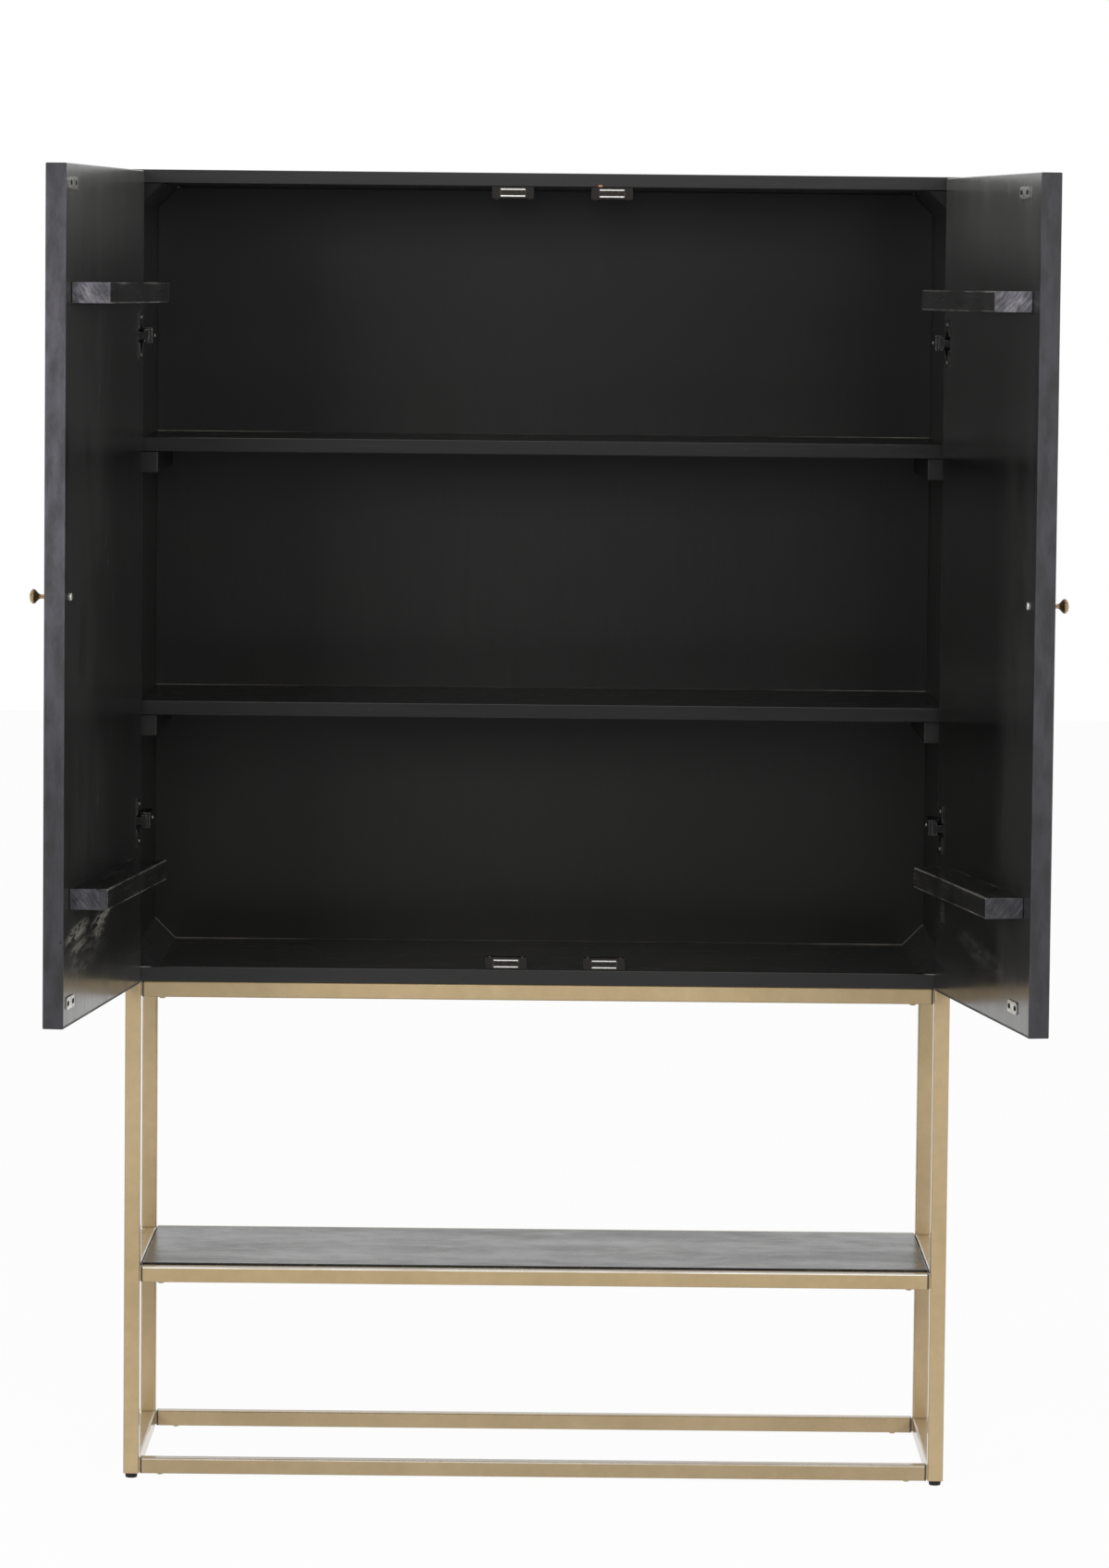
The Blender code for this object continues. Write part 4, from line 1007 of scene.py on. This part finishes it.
def door_screws(side, place):
    body = f"{side}_leaf"
    for level in ("top", "bottom"):
        low, high = box_in(f"{side}_{level}_strike", place)
        middle = (low + high) / 2
        for number, shift in enumerate((-STRIKE_SCREW_SPREAD, STRIKE_SCREW_SPREAD), 1):
            spot = Vector((middle.x + shift, high.y - STRIKE_SCREW_SINK, middle.z))
            add_piece(f"{side}_{level}_strike_screw_{number}",
                      screw_head(STRIKE_SCREW_RADIUS, STRIKE_SCREW_HEIGHT),
                      FINISHES["dark_screw"], body, place @ facing(spot, (0, 1, 0)))
    inward = 1 if side == "left" else -1
    for level in ("upper", "lower"):
        low, high = box_in(f"{side}_{level}_hinge_cup", place)
        for number, shift in enumerate((-CUP_SCREW_SPREAD, CUP_SCREW_SPREAD), 1):
            spot = Vector((inward * CUP_SCREW_FROM_AXIS, high.y, (low.z + high.z) / 2 + shift))
            add_piece(f"{side}_{level}_cup_screw_{number}", screw_head(PAN_RADIUS, PAN_HEIGHT),
                      FINISHES["hinge_screw"], body, place @ facing(spot, (0, 1, 0)))
    low, high = box_in(f"{side}_knob", place)
    door_face_y = box_in(f"{side}_door", place)[1].y
    spot = Vector(((low.x + high.x) / 2, door_face_y, (low.z + high.z) / 2))
    add_piece(f"{side}_knob_screw", screw_head(KNOB_SCREW_RADIUS, KNOB_SCREW_HEIGHT),
              FINISHES["nickel_plate"], body, place @ facing(spot, (0, 1, 0)))


def hinge_screws(side):
    out = -1 if side == "left" else 1
    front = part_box(f"{side}_side_panel")[0].y
    for level in ("upper", "lower"):
        low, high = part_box(f"{side}_{level}_hinge_arm")
        middle = (low.z + high.z) / 2
        face, wall = (high.x, low.x) if side == "left" else (low.x, high.x)
        spot = (face, high.y - ARM_SCREW_FROM_BACK, middle)
        add_piece(f"{side}_{level}_arm_screw", screw_head(ARM_SCREW_RADIUS, ARM_SCREW_HEIGHT),
                  FINISHES["hinge_screw"], "cabinet", facing(spot, (-out, 0, 0)))
        for number, shift in enumerate((-WING_SCREW_SPREAD, WING_SCREW_SPREAD), 1):
            spot = (wall - out * WING_THICK, front + WING_FROM_FRONT, middle + shift)
            add_piece(f"{side}_{level}_plate_screw_{number}", screw_head(PAN_RADIUS, PAN_HEIGHT),
                      FINISHES["hinge_screw"], "cabinet", facing(spot, (-out, 0, 0)))


def catch_screws():
    for level, up in (("top", -1), ("bottom", 1)):
        for side in SIDES:
            low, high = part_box(f"{level}_{side}_catch")
            middle = (low + high) / 2
            for number, shift in enumerate((-CATCH_SCREW_SPREAD, CATCH_SCREW_SPREAD), 1):
                spot = (middle.x + shift, middle.y, low.z if up < 0 else high.z)
                add_piece(f"{level}_{side}_catch_screw_{number}", screw_head(PAN_RADIUS, PAN_HEIGHT),
                          FINISHES["catch_screw"], "cabinet", facing(spot, (0, 0, up)))


def fillet(shape, start, stop, one, other, radius, weld=False):
    """Fills an inner corner between two walls that look along one and other; a weld is rippled."""
    start, stop, one, other = Vector(start), Vector(stop), Vector(one), Vector(other)
    steps = WELD_STEPS if weld else SEAM_STEPS
    slow, shift, fast = SEAM_WAVES
    rings = []
    for k in range(steps + 1):
        share = k / steps
        at = start.lerp(stop, share)
        if weld:
            phase = math.tau * (stop - start).length * share / WELD_PITCH
            size = radius * (1 - WELD_RIPPLE + WELD_RIPPLE * math.cos(phase))
        else:
            wave = math.sin(slow * share + shift * start.z) * math.sin(fast * share)
            size = radius * (1.0 + SEAM_RIPPLE * wave)
        hollow = at + (one + other) * size * FILLET_HOLLOW
        ring = [at, at + one * size, hollow, at + other * size]
        rings.append([shape.verts.new(point) for point in ring])
    skin_rings(shape, rings)


def seams():
    """Lines where the boards meet inside the cupboard: pale filler low down, and elsewhere dark fillets of painted
    shade in the corners.
    """
    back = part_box("back_panel")[0].y
    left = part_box("left_side_panel")[1].x
    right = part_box("right_side_panel")[0].x
    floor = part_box("bottom_panel")[1].z
    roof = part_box("top_panel")[0].z
    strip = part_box("bottom_left_corner_strip")[1].x - left
    forward, up, down = (0, -1, 0), (0, 0, 1), (0, 0, -1)
    # dark holds fillets of painted shade along the upper and back corners
    pale, dark = bmesh.new(), bmesh.new()
    fillet(pale, (left + strip, back, floor), (right - strip, back, floor), up, forward, SEAM_RADIUS)
    fillet(dark, (left + strip, back, roof), (right - strip, back, roof), down, forward, SEAM_RADIUS)
    half = math.sqrt(0.5)
    for wall, side in ((left, 1), (right, -1)):
        fillet(dark, (wall, back, floor + strip), (wall, back, roof - strip), (side, 0, 0), forward,
               SEAM_RADIUS)
        for shape, level, sign in ((pale, floor, 1), (dark, roof, -1)):
            fillet(shape, (wall + side * strip, back, level), (wall, back, level + sign * strip),
                   (side * half, 0, sign * half), forward, SEAM_RADIUS)
    for level in ("upper", "lower"):
        low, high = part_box(f"{level}_shelf")
        fillet(pale, (left, back, high.z), (right, back, high.z), up, forward, SHELF_SEAM_RADIUS)
        fillet(dark, (left, back, low.z), (right, back, low.z), down, forward, SEAM_RADIUS)
    add_piece("pale_inner_seams", pale, FINISHES["pale_seam"], "cabinet")
    add_piece("painted_shade_inner_seams", dark, FINISHES["painted_shade_seam"], "cabinet")


def welds():
    """Weld fillets where the side rails meet the legs."""
    top_low, top_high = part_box("front_top_rail")
    middle_low, middle_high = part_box("front_middle_rail")
    bottom_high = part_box("front_bottom_rail")[1]
    heights = ((top_low.z, -1), (middle_low.z, -1), (middle_high.z, 1), (bottom_high.z, 1))
    tube = top_high.y - top_low.y
    for side in SIDES:
        low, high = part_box(f"{side}_side_frame")
        near, far = (low.x, low.x + tube) if side == "left" else (high.x - tube, high.x)
        near, far = near + TUBE_CORNER, far - TUBE_CORNER
        shape = bmesh.new()
        for z, up in heights:
            for y, inward in ((low.y + tube, 1), (high.y - tube, -1)):
                fillet(shape, (near, y, z), (far, y, z), (0, 0, up), (0, inward, 0), WELD_RADIUS, weld=True)
        add_piece(f"{side}_side_frame_welds", shape, FINISHES["gold_tube"], "cabinet")


rail_bolts()
for door_side, door_frame in DOORS.items():
    door_screws(door_side, door_frame)
    hinge_screws(door_side)
catch_screws()
seams()
welds()


# Camera and studio

def add_camera():
    data = bpy.data.cameras.new("photo_view")
    data.sensor_width = SENSOR
    data.lens = FOCAL_PIXELS / IMAGE_HEIGHT * SENSOR
    data.clip_end = CAMERA_REACH
    camera = bpy.data.objects.new("photo_view", data)
    bpy.context.scene.collection.objects.link(camera)
    turn = Matrix.Rotation(-CAMERA_YAW, 4, "Z") @ Matrix.Rotation(math.pi / 2 - CAMERA_PITCH, 4, "X")
    roll = Matrix.Rotation(CAMERA_ROLL, 4, "Z")
    place = Vector((MIDDLE.x, MIDDLE.y, 0.0)) + CAMERA_PLACE
    camera.matrix_world = Matrix.Translation(place) @ turn @ roll
    bpy.context.scene.camera = camera


def add_world():
    """White to the camera; reflections see white behind the object and a dim room in front of it."""
    world = bpy.data.worlds.new("studio")
    bpy.context.scene.world = world
    graph = Graph(world, "Generated")
    path = graph.add("ShaderNodeLightPath").outputs
    room = graph.ease(graph.axis("Y"), FRONT_EDGE, BACK_EDGE, FRONT_DIM, 1.0)
    mirrored = graph.most(path["Is Glossy Ray"], path["Is Transmission Ray"])
    soft = graph.times(path["Is Diffuse Ray"], WORLD_SOFT)
    shown = graph.most(path["Is Camera Ray"], graph.times(mirrored, room), soft)
    background = graph.add("ShaderNodeBackground")
    background.inputs["Color"].default_value = (1, 1, 1, 1)
    graph.join(shown, background.inputs["Strength"])
    output = graph.add("ShaderNodeOutputWorld")
    graph.join(background.outputs[0], output.inputs["Surface"])


def add_floor():
    """A pale floor that shows white and keeps the object's shadow."""
    shape = bmesh.new()
    bmesh.ops.create_grid(shape, x_segments=FLOOR_CELLS, y_segments=FLOOR_CELLS, size=FLOOR_HALF)
    mesh = bpy.data.meshes.new("floor")
    shape.to_mesh(mesh)
    shape.free()
    floor = bpy.data.objects.new("floor", mesh)
    bpy.context.scene.collection.objects.link(floor)
    finish = Finish("pale floor", specular=0.0)
    finish.set("Base Color", (FLOOR_GREY, FLOOR_GREY, FLOOR_GREY))
    finish.set("Roughness", FLOOR_ROUGHNESS)
    path = finish.add("ShaderNodeLightPath").outputs
    behind = finish.ease(finish.axis("Y"), GLOW_NEAR, GLOW_FAR)
    mirrored = finish.most(path["Is Glossy Ray"], path["Is Transmission Ray"])
    seen = finish.times(path["Is Camera Ray"], FLOOR_SHOWN_WHITE)
    reflected = finish.times(finish.times(mirrored, behind), FLOOR_MIRRORED_WHITE)
    glow = finish.add("ShaderNodeEmission")
    mix = finish.add("ShaderNodeMixShader")
    finish.join(finish.most(seen, reflected), mix.inputs[0])
    finish.join(finish.shader.outputs["BSDF"], mix.inputs[1])
    finish.join(glow.outputs[0], mix.inputs[2])
    finish.join(mix.outputs[0], finish.output.inputs["Surface"])
    mesh.materials.append(finish.material)


def add_softbox(name, place, size, power):
    data = bpy.data.lights.new(name, "AREA")
    data.shape = "RECTANGLE"
    data.size, data.size_y = size
    data.energy = power
    data.color = SOFTBOX_TINT
    light = bpy.data.objects.new(name, data)
    target = Vector((MIDDLE.x, MIDDLE.y, AIM_HEIGHT))
    light.location = target + Vector(place)
    light.rotation_euler = (-Vector(place)).to_track_quat("-Z", "Y").to_euler()
    light.visible_camera = False
    bpy.context.scene.collection.objects.link(light)


add_camera()
add_world()
add_floor()
add_softbox("overhead", **OVERHEAD)
add_softbox("left_box", **LEFT_BOX)
add_softbox("right_box", **RIGHT_BOX)
add_softbox("right_wing", **RIGHT_WING)
add_softbox("strip", **STRIP)
bpy.context.scene.view_settings.view_transform = "Standard"
